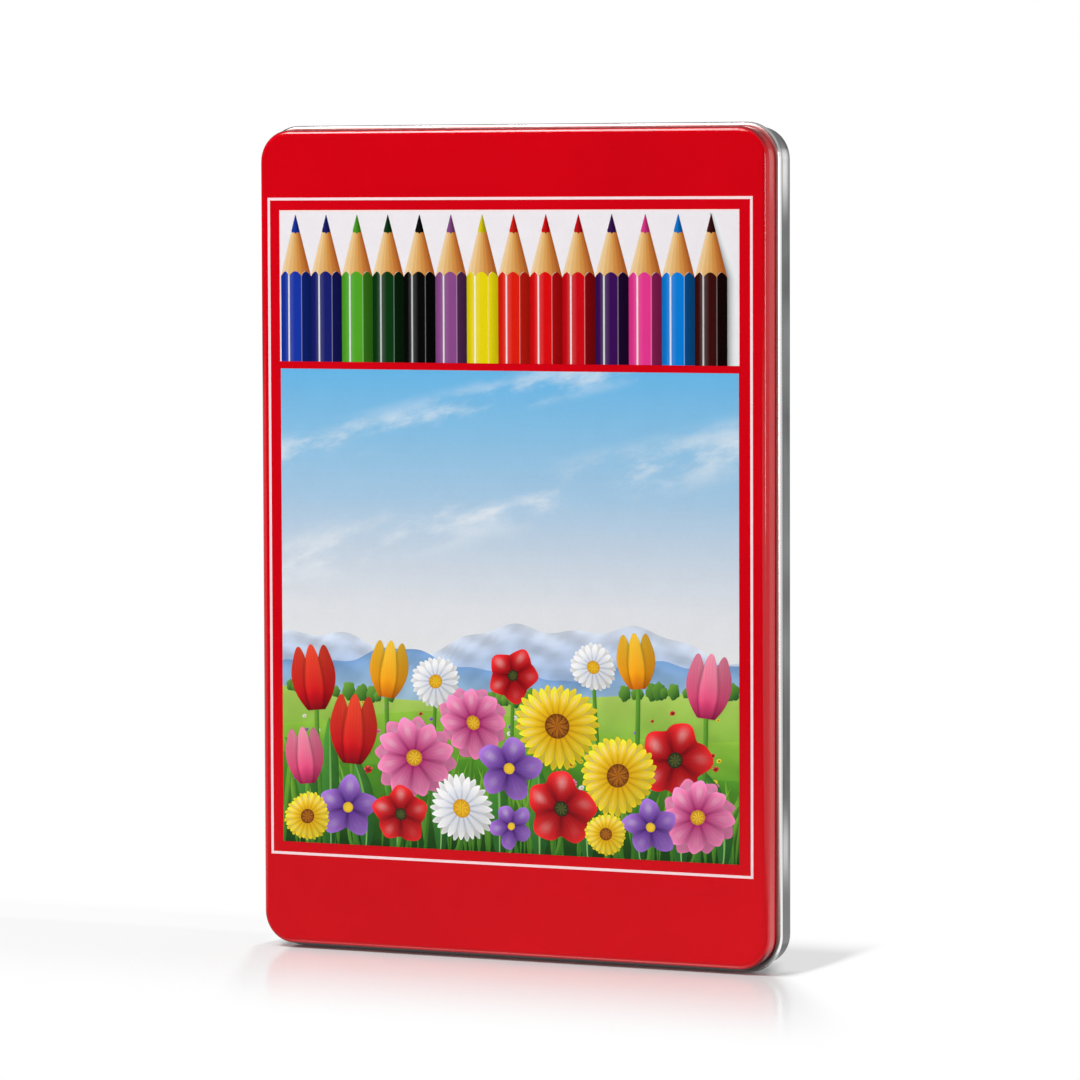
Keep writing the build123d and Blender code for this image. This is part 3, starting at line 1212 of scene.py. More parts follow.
@dataclass(frozen=True)
class Hill:
    """A band of land under a wavy crest.

    Each wave of the crest has a height, a length and a start.  The relief is how much its folds
    lighten and darken it.
    """

    kind: str
    crest: float
    waves: tuple[tuple[float, float, float], ...]
    foot: float
    top_tone: Rgb
    foot_tone: Rgb
    relief: float
    columns: int = 230
    rows: int = 16

    def draw(self, picture: Picture) -> None:
        """Draws the band: its crest is a sum of sines and its folds are products of slanted sines.

        Args:
            picture: Picture to draw in.
        """
        side = np.linspace(picture.area.left, picture.area.right, self.columns)
        waves = (height * np.sin(side / length + start) for height, length, start in self.waves)
        crest = self.crest + sum(waves)
        down = np.linspace(0, 1, self.rows)[:, None]
        up = crest + down * (self.foot - crest)
        across = np.broadcast_to(side, up.shape)
        ink = between(tone(self.top_tone), tone(self.foot_tone), np.broadcast_to(down**0.8, up.shape))
        folds = np.sin(across / 2.6 + up * 0.6 + 2 * np.sin(up / 3.7)) * np.sin(across / 6.1 - up * 0.31)
        folds = np.tanh(2.5 * folds) + 0.4 * np.sin(across / 0.9 - up * 1.3) * np.sin(across / 4.3)
        picture.draw(self.kind, across, up, ink * (1 + self.relief * folds)[..., None])


@dataclass(frozen=True)
class Spot:
    """How a flower stands: its middle, radius, turn of the petals, flatness, lean and brightness."""

    x: float
    z: float
    size: float
    turn: float
    flat: float = 0.9
    lean: float = 0.3
    shade: float = 1.0


@dataclass(frozen=True)
class Bloom:
    """A round flower seen from the front, drawn as one disc of petals round a heart.

    The gap is the share of the radius that is cut away between petals, blunt the power that shapes
    their ends, and the heart a share of the radius.
    """

    kind: str
    petals: int
    gap: float
    blunt: float
    heart: float
    inner: Rgb
    outer: Rgb
    seam: Rgb
    heart_light: Rgb
    heart_dark: Rgb
    sheen: Rgb = (255, 250, 246)
    sheen_share: float = 0.3
    large_from: float = 3.0

    def draw(self, picture: Picture, spot: Spot) -> None:
        """Draws the flower.

        The outline's radius drops by the gap between the petals, following a power of the cosine
        over the petals.  The disc is flattened across the way that it leans.

        Args:
            picture: Picture to draw in.
            spot: How the flower stands.
        """
        reach, angle = self._grid(spot.size)
        turned = angle - spot.turn
        swing = 0.5 + 0.5 * np.cos(self.petals * turned)
        ripple = 1 + 0.04 * np.sin(3 * angle + spot.x) + 0.025 * np.sin(2 * self.petals * turned + spot.z)
        outline = (1 - self.gap * (1 - swing**self.blunt)) * ripple
        beyond = (reach - self.heart) / (1 - self.heart)
        stretched = self.heart + beyond * np.maximum(outline - self.heart, 0.02)
        radius = spot.size * np.where(reach > self.heart, stretched, reach)
        along, aside = radius * np.cos(angle), radius * np.sin(angle) * spot.flat
        across = spot.x + along * math.cos(spot.lean) - aside * math.sin(spot.lean)
        up = spot.z + along * math.sin(spot.lean) + aside * math.cos(spot.lean)
        petals = self._petal_tones(np.clip(beyond, 0, 1), angle, swing, spot)
        heart = self._heart_tones(reach, angle) * spot.shade
        picture.draw(self.kind, across, up, np.where((reach <= self.heart)[..., None], heart, petals))

    def _grid(self, size: float) -> tuple[Array, Array]:
        """Rings and rays of the disc, more of them on a large flower.

        Args:
            size: Radius of the flower.

        Returns:
            Column of shares of the radius, and row of angles.
        """
        large = size > self.large_from
        angle = np.linspace(0, 2 * math.pi, self.petals * (12 if large else 6) + 1)[None, :]
        if large:
            petal = self.heart + (1 - self.heart) * np.linspace(0.02, 1, 9)
            return np.concatenate([np.array([0, 0.35, 0.7, 0.92, 1.0]) * self.heart, petal])[:, None], angle
        return np.array([0, self.heart, self.heart * 1.1, 0.7, 1.0])[:, None], angle

    def _petal_tones(self, way: Array, angle: Array, swing: Array, spot: Spot) -> Array:
        """Colours of the petals.

        They go from the inner to the outer tone, with dark seams between them, fine veins near
        the heart, a light rim, more light on one side and a soft sheen across their middle.

        Args:
            way: Way along the petal, from 0 at the heart to 1 at its end.
            angle: Angle round the flower.
            swing: 1 on the middle of a petal and 0 between two.
            spot: How the flower stands.

        Returns:
            Grid of colours.
        """
        lobe = swing**self.blunt
        lit = np.cos(angle + spot.lean - LIGHT_FROM)
        ink = between(tone(self.inner), tone(self.outer), way**0.75 + 0 * angle)
        ink = between(ink, tone(self.seam), (1 - lobe) ** 1.6 * (0.95 - 0.35 * way))
        veins = 0.5 + 0.5 * np.cos(self.petals * 5 * (angle - spot.turn))
        light = 1 + 0.24 * lit * way - 0.2 * veins * (1 - way**2)
        rim = 1 + 0.22 * np.clip(way * 6 - 5, 0, 1) * lobe
        sheen = np.exp(-(((way - 0.62) / 0.2) ** 2)) * swing**5 * (0.55 + 0.45 * lit)
        ink = ink * (light * rim * spot.shade)[..., None]
        return between(ink, tone(self.sheen), self.sheen_share * sheen * spot.shade)

    def _heart_tones(self, reach: Array, angle: Array) -> Array:
        """Colours of the heart: crossing waves make dots, which darken towards its edge.

        Args:
            reach: Share of the flower's radius.
            angle: Angle round the flower.

        Returns:
            Grid of colours.
        """
        dots = 0.5 + 0.5 * np.sin(angle * 13 + reach / self.heart * 9) * np.cos(angle * 5 - reach * 40)
        fade = 1.15 - (reach / self.heart) ** 3
        return between(tone(self.heart_dark), tone(self.heart_light), dots * fade)


@dataclass(frozen=True)
class Tulip:
    """A cup of three petals seen from the side."""

    light: Rgb
    deep: Rgb
    foot: Rgb

    def draw(self, picture: Picture, x: float, z: float, height: float, lean: float) -> None:
        """Draws the cup.

        Its half width is a power of a sine over the height, its top has three tips, and two
        curved seams part the middle petal from the outer ones.

        Args:
            picture: Picture to draw in.
            x: X of the cup's foot.
            z: Z of the cup's foot.
            height: Height of the cup.
            lean: Lean to the right, in radians.
        """
        side = np.linspace(-1, 1, 49)[None, :]
        rise = np.concatenate([np.linspace(0, 0.92, 15), np.linspace(0.95, 1.0, 4)])[:, None]
        half = 0.38 * height * np.sin(math.pi * (0.1 + 0.57 * rise)) ** 0.8
        tips = 1 - 0.2 * (1 - np.abs(np.cos(1.5 * math.pi * side)) ** 0.9) - 0.05 * side**2
        across = half * side
        up = height * rise * tips
        cos, sin = math.cos(lean), math.sin(lean)
        ink = self._tones(side, rise)
        picture.draw("tulips", x + across * cos + up * sin, z + up * cos - across * sin, ink)

    def _tones(self, side: Array, rise: Array) -> Array:
        """Colours of the cup, deep above its foot and lighter towards its tips, with fine streaks.

        Args:
            side: Way across the cup, from -1 to 1.
            rise: Way up the cup, from 0 to 1.

        Returns:
            Grid of colours.
        """
        ink = between(tone(self.foot), tone(self.deep), rise * 3.2 + 0 * side)
        ink = between(ink, tone(self.light), (rise - 0.25) * 0.9 * (1 - np.abs(side) * 0.4) + 0 * side)
        seam = 0.34 + 0.34 * (1 - rise) ** 1.4
        cleft = np.exp(-(((np.abs(side) - seam) / 0.055) ** 2))
        outer = np.clip((np.abs(side) - seam) * 14, 0, 1)
        streak = 0.5 + 0.5 * np.cos(side * 46 + rise * 2)
        light = (1 - 0.5 * cleft) * (1 - 0.26 * outer) * (1 - 0.13 * streak * rise) * (1.08 - 0.2 * side)
        return ink * light[..., None]


@dataclass(frozen=True)
class Leaf:
    """A leaf, blade or stem that follows a bent line."""

    light: Rgb
    dark: Rgb
    vein: Rgb | None = None
    narrow_under: float = 1.6
    narrow_sides: tuple[float, ...] = (-1.0, 0.0, 1.0)
    broad_sides: tuple[float, ...] = (-1.0, -0.75, -0.45, -0.16, -0.06, 0.06, 0.16, 0.45, 0.75, 1.0)

    def draw(self, picture: Picture, line: Sequence[Reach], width: float, even: bool = False) -> None:
        """Draws the leaf along a quadratic curve.

        Its half width is a power of a sine over the length, or even along a stem.

        Args:
            picture: Picture to draw in.
            line: X and Z of the foot, of the point that bends the line, and of the tip.
            width: Width at its widest.
            even: Whether the width stays the same.
        """
        narrow = width < self.narrow_under
        way = np.linspace(0, 1, 9 if narrow else 22)[:, None]
        side = np.array(self.narrow_sides if narrow else self.broad_sides)[None, :]
        a, b, c = (np.array(point, float) for point in line)
        middle = (1 - way) ** 2 * a + 2 * way * (1 - way) * b + way**2 * c
        slope = 2 * (1 - way) * (b - a) + 2 * way * (c - b)
        slope /= np.linalg.norm(slope, axis=1, keepdims=True) + 1e-9
        shape = np.full_like(way, 0.5) if even else 0.5 * np.sin(math.pi * (0.12 + 0.88 * way) ** 1.1) ** 0.8
        half = width * shape
        across = middle[:, :1] + slope[:, 1:] * half * side
        up = middle[:, 1:] - slope[:, :1] * half * side
        ink = between(tone(self.dark), tone(self.light), 0.15 + 0.75 * way * (1 - 0.45 * side) + 0 * side)
        ink = ink * (1 - 0.25 * (side > 0) + 0.05 * np.sin(way * 40 + side * 3))[..., None]
        if self.vein is not None and not narrow:
            ink = between(ink, tone(self.vein), (np.abs(side) < 0.1) * (0.85 - 0.5 * way))
        picture.draw("leaves", across, up, ink)


class Round(Enum):
    """The round flowers of the meadow."""

    DAISY = Bloom(
        "daisies", petals=18, gap=0.42, blunt=0.45, heart=0.3, inner=(236, 176, 6), outer=(252, 226, 40),
        seam=(198, 128, 8), heart_light=(200, 120, 30), heart_dark=(96, 48, 14),
    )
    WHITE_DAISY = Bloom(
        "daisies", petals=15, gap=0.45, blunt=0.45, heart=0.28, inner=(226, 230, 240), outer=(252, 252, 250),
        seam=(150, 168, 196), heart_light=(250, 210, 50), heart_dark=(206, 140, 16),
    )
    COSMOS = Bloom(
        "cosmos", petals=8, gap=0.3, blunt=0.5, heart=0.2, inner=(176, 26, 108), outer=(246, 138, 186),
        seam=(148, 22, 92), heart_light=(250, 214, 60), heart_dark=(190, 120, 14),
    )
    POPPY = Bloom(
        "poppies", petals=5, gap=0.24, blunt=0.6, heart=0.2, inner=(150, 8, 18), outer=(234, 34, 38),
        seam=(112, 4, 16), heart_light=(96, 108, 48), heart_dark=(22, 12, 22),
    )
    VIOLET = Bloom(
        "violets", petals=5, gap=0.36, blunt=0.6, heart=0.16, inner=(88, 44, 140), outer=(158, 108, 204),
        seam=(62, 26, 104), heart_light=(252, 226, 70), heart_dark=(220, 168, 20),
    )


class Cup(Enum):
    """The tulips of the meadow."""

    RED = Tulip((255, 92, 56), (208, 16, 28), (120, 8, 20))
    GOLD = Tulip((255, 222, 70), (244, 158, 18), (196, 96, 14))
    PINK = Tulip((255, 176, 196), (228, 72, 122), (150, 28, 74))


class Green(Enum):
    """What is green in the border."""

    BLADE = Leaf((126, 186, 58), (30, 96, 26))
    BROAD = Leaf((84, 160, 60), (14, 74, 34), (150, 200, 110))
    STEM = Leaf((104, 164, 54), (36, 100, 30))


@dataclass(frozen=True)
class Sprinkle:
    """Small far flowers strewn over a field: how many, between which heights and of which radii."""

    count: int
    heights: Reach
    sizes: Reach


@dataclass(frozen=True)
class Treeline:
    """Round trees along the far field, as runs from one X to another with a number of trees."""

    ground: float = 59.6
    runs: tuple[tuple[float, float, int], ...] = ((-56, -30, 13), (-8, 6, 8), (29, 56, 14))
    sizes: Reach = (1.0, 2.2)
    brightness: Reach = (0.7, 1.0)
    jitter: float = 0.8
    dark: Rgb = (24, 84, 34)
    light: Rgb = (122, 176, 66)

    def draw(self, picture: Picture, chance: np.random.Generator) -> None:
        """Draws the trees as discs with a rippled outline, lit from the left.

        Args:
            picture: Picture to draw in.
            chance: Source of sizes and places.
        """
        angle, reach = np.linspace(0, 2 * math.pi, 25)[None, :], np.linspace(0, 1, 5)[:, None]
        height, length, start = FAR_FIELD_WAVE
        for x in np.concatenate([np.linspace(*run) for run in self.runs]):
            size = chance.uniform(*self.sizes)
            foot = self.ground + height * math.sin(x / length + start)
            middle_x, middle_z = x + chance.uniform(-self.jitter, self.jitter), foot + 0.5 * size
            ripple = 1 + 0.09 * np.sin(5 * angle + x) + 0.05 * np.sin(9 * angle)
            across = middle_x + size * 0.8 * reach * ripple * np.cos(angle)
            up = middle_z + size * reach * ripple * np.sin(angle)
            light = 0.5 + 0.5 * reach * np.cos(angle - LIGHT_FROM)
            ink = between(tone(self.dark), tone(self.light), light * chance.uniform(*self.brightness))
            picture.draw("trees", across, up, ink)


@dataclass(frozen=True)
class Border:
    """Garden flowers along the foot of the picture, over blades and broad leaves.

    Blooms and cups have an X, a Z and a size, and a cup a lean; broad leaves an X, a height and
    a width.
    """

    blades: int = 90
    blade_sway: float = 6.0
    blade_heights: Reach = (14.0, 27.0)
    blade_widths: Reach = (0.7, 1.5)
    leaf_sway: float = 9.0
    leaves: tuple[tuple[float, float, float], ...] = (
        (-50, 25, 5.5), (-36, 22, 5.0), (-45, 30, 4.5), (-28, 19, 5.0), (-17, 21, 4.5), (-2, 24, 5.0),
        (8, 21, 5.5), (20, 22, 5.0), (33, 24, 5.0), (43, 27, 5.5), (53, 23, 5.0),
    )
    cup_stem: float = 1.1
    cups: tuple[tuple[Cup, float, float, float, float], ...] = (
        (Cup.RED, -48.5, 55.0, 15.0, -0.1),
        (Cup.GOLD, -30.5, 58.5, 13.0, 0.1),
        (Cup.RED, -39.5, 43.0, 16.0, 0.06),
        (Cup.PINK, 49.0, 56.5, 14.5, 0.1),
        (Cup.PINK, -51.0, 38.0, 13.0, -0.1),
        (Cup.GOLD, 32.5, 62.5, 12.5, -0.08),
    )
    bloom_stem: float = 0.9
    stem_sway: float = 4.0
    bloom_flat: float = 0.92
    bloom_lean: float = 0.7
    single_up_to: int = 5
    back_size: float = 1.05
    back_shade: float = 0.72
    blooms: tuple[tuple[Round, float, float, float], ...] = (
        (Round.WHITE_DAISY, -18.0, 62.5, 6.0),
        (Round.POPPY, 1.5, 64.5, 6.6),
        (Round.WHITE_DAISY, 21.5, 67.0, 5.6),
        (Round.COSMOS, -8.5, 53.5, 8.4),
        (Round.DAISY, 12.5, 53.5, 10.0),
        (Round.POPPY, 41.5, 47.0, 9.2),
        (Round.COSMOS, -23.5, 45.0, 9.8),
        (Round.DAISY, 27.5, 43.0, 9.2),
        (Round.VIOLET, 0.5, 43.5, 8.2),
        (Round.VIOLET, -40.5, 33.0, 7.8),
        (Round.POPPY, 13.5, 35.0, 9.0),
        (Round.COSMOS, 47.0, 34.5, 8.8),
        (Round.WHITE_DAISY, -11.5, 34.0, 7.8),
        (Round.VIOLET, 35.5, 31.8, 6.9),
        (Round.POPPY, -27.0, 32.0, 7.2),
        (Round.DAISY, -51.0, 30.5, 5.8),
        (Round.VIOLET, 1.0, 30.5, 5.6),
        (Round.DAISY, 24.5, 29.8, 5.0),
    )

    def draw(self, picture: Picture, chance: np.random.Generator) -> None:
        """Draws the leaves, the stems and the flowers, the far ones first.

        Args:
            picture: Picture to draw in.
            chance: Source of what differs from plant to plant.
        """
        low = picture.area.low - 1
        self._draw_leaves(picture, chance, low)
        stem = Green.STEM.value
        for _, x, z, _, _ in self.cups:
            stem.draw(picture, ((x * 0.96, low), (x, z - 12), (x, z + 0.6)), self.cup_stem, True)
        for _, x, z, _ in self.blooms:
            foot = x + chance.uniform(-self.stem_sway, self.stem_sway)
            stem.draw(picture, ((foot, low), (x, z - 10), (x, z)), self.bloom_stem, True)
        for cup, x, z, height, lean in self.cups:
            cup.value.draw(picture, x, z, height, lean)
        for kind, x, z, size in self.blooms:
            self._draw_bloom(picture, chance, kind.value, (x, z, size))

    def _draw_leaves(self, picture: Picture, chance: np.random.Generator, low: float) -> None:
        """Draws the blades of grass and the broad leaves.

        Args:
            picture: Picture to draw in.
            chance: Source of their places and sway.
            low: Height of their feet, under the picture's edge.
        """
        sway = self.blade_sway
        for x in chance.uniform(picture.area.left, picture.area.right, self.blades):
            tip = (x + chance.uniform(-sway, sway), low + chance.uniform(*self.blade_heights))
            line = ((x, low), (x, low + 10), tip)
            Green.BLADE.value.draw(picture, line, chance.uniform(*self.blade_widths))
        for x, height, width in self.leaves:
            lean = chance.uniform(-self.leaf_sway, self.leaf_sway)
            line = ((x, low), (x - lean * 0.3, low + height * 0.6), (x + lean, low + height))
            Green.BROAD.value.draw(picture, line, width)

    def _draw_bloom(
        self, picture: Picture, chance: np.random.Generator, bloom: Bloom, stand: tuple[float, float, float]
    ) -> None:
        """Draws a flower, with a darker row of petals behind it if it has many.

        Args:
            picture: Picture to draw in.
            chance: Source of its turn and lean.
            bloom: The flower.
            stand: X, Z and radius.
        """
        x, z, size = stand
        turn, lean = chance.uniform(0, 6), chance.uniform(-self.bloom_lean, self.bloom_lean)
        if bloom.petals > self.single_up_to:
            half = math.pi / bloom.petals
            behind = Spot(x, z, self.back_size * size, turn + half, self.bloom_flat, lean, self.back_shade)
            bloom.draw(picture, behind)
        bloom.draw(picture, Spot(x, z, size, turn, self.bloom_flat, lean))


@dataclass(frozen=True)
class Meadow:
    """Landscape panel: sky, far hills, fields with trees and a border of garden flowers."""

    area: Area = Area(-57.3, 57.05, 24.5, 132.8)
    sky_foot: float = 66.0
    sky: tuple[tuple[float, Rgb], ...] = (
        (70.0, (232, 233, 235)),
        (80.0, (226, 229, 234)),
        (92.0, (200, 215, 230)),
        (104.0, (168, 203, 230)),
        (118.0, (138, 194, 230)),
        (132.8, (104, 184, 233)),
    )
    far_land: tuple[Hill, ...] = (
        Hill(
            "far_hills", crest=73.0, waves=((3.0, 15.0, 0.4), (1.5, 6.1, 2.0), (0.6, 2.3, 0.5)), foot=56.0,
            top_tone=(214, 223, 237), foot_tone=(124, 165, 216), relief=0.16,
        ),
        Hill(
            "far_hills", crest=66.5, waves=((2.4, 12.0, 3.9), (1.1, 4.7, 1.0), (0.4, 1.9, 0.0)), foot=54.0,
            top_tone=(120, 162, 212), foot_tone=(170, 200, 214), relief=0.12,
        ),
        Hill(
            "fields", crest=60.0, waves=(FAR_FIELD_WAVE,), foot=46.0,
            top_tone=(176, 208, 96), foot_tone=(120, 178, 54), relief=0.07,
        ),
    )
    middle_field: Hill = Hill(
        "fields", crest=53.5, waves=((2.4, 18.0, 2.3),), foot=38.0,
        top_tone=(146, 196, 66), foot_tone=(72, 142, 36), relief=0.08,
    )
    middle_flowers: Sprinkle = Sprinkle(count=60, heights=(47.0, 57.5), sizes=(0.45, 0.8))
    near_field: Hill = Hill(
        "fields", crest=45.0, waves=((2.0, 14.0, 0.9),), foot=24.5,
        top_tone=(84, 150, 42), foot_tone=(18, 60, 16), relief=0.1,
    )
    near_flowers: Sprinkle = Sprinkle(count=40, heights=(38.0, 47.0), sizes=(0.7, 1.3))
    trees: Treeline = Treeline()
    border: Border = Border()
    margin: float = 2.0
    seed: int = 12

    def draw(self, sheet: PrintSheet) -> None:
        """Draws the picture from back to front.

        Args:
            sheet: Sheet to print on.
        """
        picture = Picture(sheet, self.area)
        heights = np.linspace(self.sky_foot, self.area.high, 44)
        across, up = np.meshgrid(np.linspace(self.area.left, self.area.right, 5), heights)
        sheet.draw("sky", across, up, stops_tone(up, self.sky))
        for hill in self.far_land:
            hill.draw(picture)
        self.trees.draw(picture, np.random.default_rng(self.seed))
        for land, flowers in ((self.middle_field, self.middle_flowers), (self.near_field, self.near_flowers)):
            land.draw(picture)
            self._strew(picture, flowers)
        self.border.draw(picture, np.random.default_rng(self.seed + 1))

    def _strew(self, picture: Picture, flowers: Sprinkle) -> None:
        """Strews small flowers of every kind.

        Args:
            picture: Picture to draw in.
            flowers: How many there are, where and how large.
        """
        chance = np.random.default_rng(self.seed + flowers.count)
        kinds = (Round.WHITE_DAISY, Round.POPPY, Round.DAISY, Round.COSMOS, Round.VIOLET)
        for _ in range(flowers.count):
            bloom = kinds[chance.integers(len(kinds))].value
            x = chance.uniform(self.area.left + self.margin, self.area.right - self.margin)
            z = chance.uniform(*flowers.heights)
            bloom.draw(picture, Spot(x, z, chance.uniform(*flowers.sizes), chance.uniform(0, 6), 0.75))


# ---- liner ---------------------------------------------------------------------------------------


@dataclass(frozen=True)
class Liner:
    """Foam sheet glued inside the lid, with the dents that the pencils press into it."""

    middle: Reach = (0.5255, 94.0)
    half_size: Reach = (58.45, 88.2)
    corner: float = 6.0
    glued: float = -6.44
    face: float = -3.46
    edge_powers: tuple[int, int] = (70, 100)
    pencils: int = 12
    pitch: float = 9.9
    pencil_ends: Reach = (6.5, 166.0)
    dent: float = 0.32
    dent_width: float = 2.0
    columns: int = 141
    rows: int = 81
    crowding: float = 0.35

    def build(self, effects: Effects) -> bpy.types.Object:
        """Makes the sheet as one closed surface.

        Both faces are grids over the rounded outline, with more lines towards their edges.  The
        thickness falls to nothing at the outline with the root of one minus a high power of the
        way from the middle.

        Args:
            effects: Shared node groups.

        Returns:
            The piece.
        """
        even = np.linspace(-1, 1, self.columns)[None, :]
        side = np.sin(even * math.pi / 2) * self.crowding + even * (1 - self.crowding)
        along = np.sin(np.linspace(-1, 1, self.rows) * math.pi / 2)[:, None]
        (half_width, half_height), corner = self.half_size, self.corner
        over = np.clip(np.abs(along) * half_height - (half_height - corner), 0, corner)
        x = self.middle[0] + (half_width - corner + np.sqrt(corner**2 - over**2)) * side
        z = self.middle[1] + half_height * along + 0 * side
        aside, up = self.edge_powers
        full = np.sqrt(np.clip((1 - np.abs(side) ** aside) * (1 - np.abs(along) ** up), 0, 1))
        centre, thick = (self.glued + self.face) / 2, (self.face - self.glued) / 2
        front = centre + thick * full - self.dent * self._dents(x, z) * full
        levels = (front, centre - thick * full)
        points = np.concatenate([np.stack([x, level, z], axis=-1).reshape(-1, 3) for level in levels])
        sheets = (grid_faces(*x.shape)[:, ::-1], grid_faces(*x.shape, x.size))
        piece = new_piece("foam_liner", points, np.concatenate(sheets), Body.LID)
        piece.data.materials.append(FoamSheet("white_foam_sheet").material(effects))
        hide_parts("lid_liner")
        return piece

    def _dents(self, x: Array, z: Array) -> Array:
        """Depth of the dents: a bell curve over each pencil, which fades at both its ends.

        Args:
            x: Places across the sheet.
            z: Places along it.

        Returns:
            Shares of the full dent.
        """
        places = self.middle[0] + (np.arange(self.pencils) - (self.pencils - 1) / 2) * self.pitch
        dents = np.exp(-(((x[..., None] - places) / self.dent_width) ** 2)).sum(axis=-1)
        low, high = self.pencil_ends
        return dents * (1 / (1 + np.exp(-(z - low))) / (1 + np.exp((z - high))))


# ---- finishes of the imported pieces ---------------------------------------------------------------


@dataclass(frozen=True)
class DressedTin:
    """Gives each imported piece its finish.

    The colours are those of the pencils inside, in their order across the tin.  They are a guess,
    because the photograph shows the tin shut.
    """

    nodes: dict[str, bpy.types.Object]
    effects: Effects
    pencil_tones: tuple[Rgb, ...] = (
        (24, 48, 158), (10, 124, 212), (84, 166, 40), (10, 76, 38), (14, 14, 15), (140, 76, 140),
        (240, 214, 14), (240, 110, 16), (208, 8, 18), (228, 60, 146), (62, 14, 92), (84, 34, 20),
    )

    def dress(self) -> None:
        """Dresses shells, pins, tray and pencils."""
        self._give(Tinplate("bare_tinplate"), "base_shell")
        self._give(LidLacquer("red_lid_lacquer"), "lid_shell")
        wire = Tinplate("pin_wire_steel", (150, 150, 153), (96, 96, 99), (170, 170, 172), roughness=0.3)
        self._give(wire, "hinge_pin_lower", "hinge_pin_upper")
        self._give(FormedPlastic("tray_sheet"), "pencil_tray")
        for number, colour in enumerate(self.pencil_tones, start=1):
            self._give(PencilPaint(f"paint_{number:02d}", colour), f"pencil_{number:02d}_casing")
            self._give(WaxCore(f"wax_{number:02d}", colour), f"pencil_{number:02d}_core")

    def _give(self, finish: Finish, *names: str) -> None:
        """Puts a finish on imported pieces.

        Args:
            finish: The finish.
            *names: Names of the pieces.
        """
        made = finish.material(self.effects)
        for name in names:
            mesh = self.nodes[name].data
            mesh.materials.clear()
            mesh.materials.append(made)
            LOG.info("dressed %s with %s", name, finish.label)


# ---- studio --------------------------------------------------------------------------------------

VIEWERS_SIDE = 0.03  # strength of the white surroundings in a mirror that shows the viewer's side
BACKDROP = 0.62  # the same far behind the tin


def white_shown(board: Board, rays: Any, mirrored: Any) -> Socket:
    """Strength of the white surroundings for a ray.

    Args:
        board: Board to wire.
        rays: Outputs of its Light Path node.
        mirrored: Strength in a mirror.

    Returns:
        One to the eye and through glass, and the mirrored strength in a reflection.
    """
    straight = board.math("ADD", rays["Is Camera Ray"], rays["Is Transmission Ray"], clamp=True)
    return board.larger(straight, board.times(rays["Is Glossy Ray"], mirrored))


@dataclass(frozen=True)
class FloorPatch:
    """The patch of floor that keeps the tin's shadow and reflection, in metres.

    It reaches further ahead than aside, slants and widens on its way ahead, and is narrower on the
    hinge side.  Behind the tin, and from its front on past its right corner, it is partly washed out.
    """

    footprint: Reach = (0.0638, 0.0065)
    aside: float = 0.0068
    ahead: float = 0.1
    behind: float = 0.055
    slant: float = 0.49
    widening: float = 0.25
    narrowed: float = 0.4
    narrowing: Reach = (-0.06, 0.06)
    washed: float = 0.55
    corner: float = 0.008

    def away(self, board: Board, side: Any, depth: Any) -> Socket:
        """How far the floor has turned white round the patch.

        The ways past the footprint, as shares of their reaches, are the parts of a vector, whose
        length gives the whiteness.

        Args:
            board: Board to wire.
            side: X from the middle of the patch.
            depth: Y from the middle of the patch.

        Returns:
            Zero at the tin's front, rising to one all round.
        """
        width, thickness = self.footprint
        ahead = board.larger(board.minus(board.times(depth, -1.0), thickness), 0.0)
        behind = board.larger(board.minus(depth, thickness), 0.0)
        slanted = board.minus(side, board.times(ahead, self.slant))
        aside = board.larger(board.minus(board.size(slanted), width), 0.0)
        widened = board.math("MULTIPLY_ADD", ahead, self.widening, self.aside)
        widened = board.times(widened, board.span(slanted, *self.narrowing, self.narrowed, 1.0))
        ways = ((aside, widened), (ahead, self.ahead), (behind, self.behind))
        parts = {number: board.math("DIVIDE", way, reach) for number, (way, reach) in enumerate(ways)}
        vector = board.add("ShaderNodeCombineXYZ", parts).outputs[0]
        length = board.vector("LENGTH", vector, output=1)
        under = board.span(side, width - self.corner, width, 2 * thickness, 0.0)
        washed = board.span(board.minus(depth, under), -thickness, thickness, 0.0, self.washed)
        return board.larger(board.span(length, 0.0, 1.0), washed)


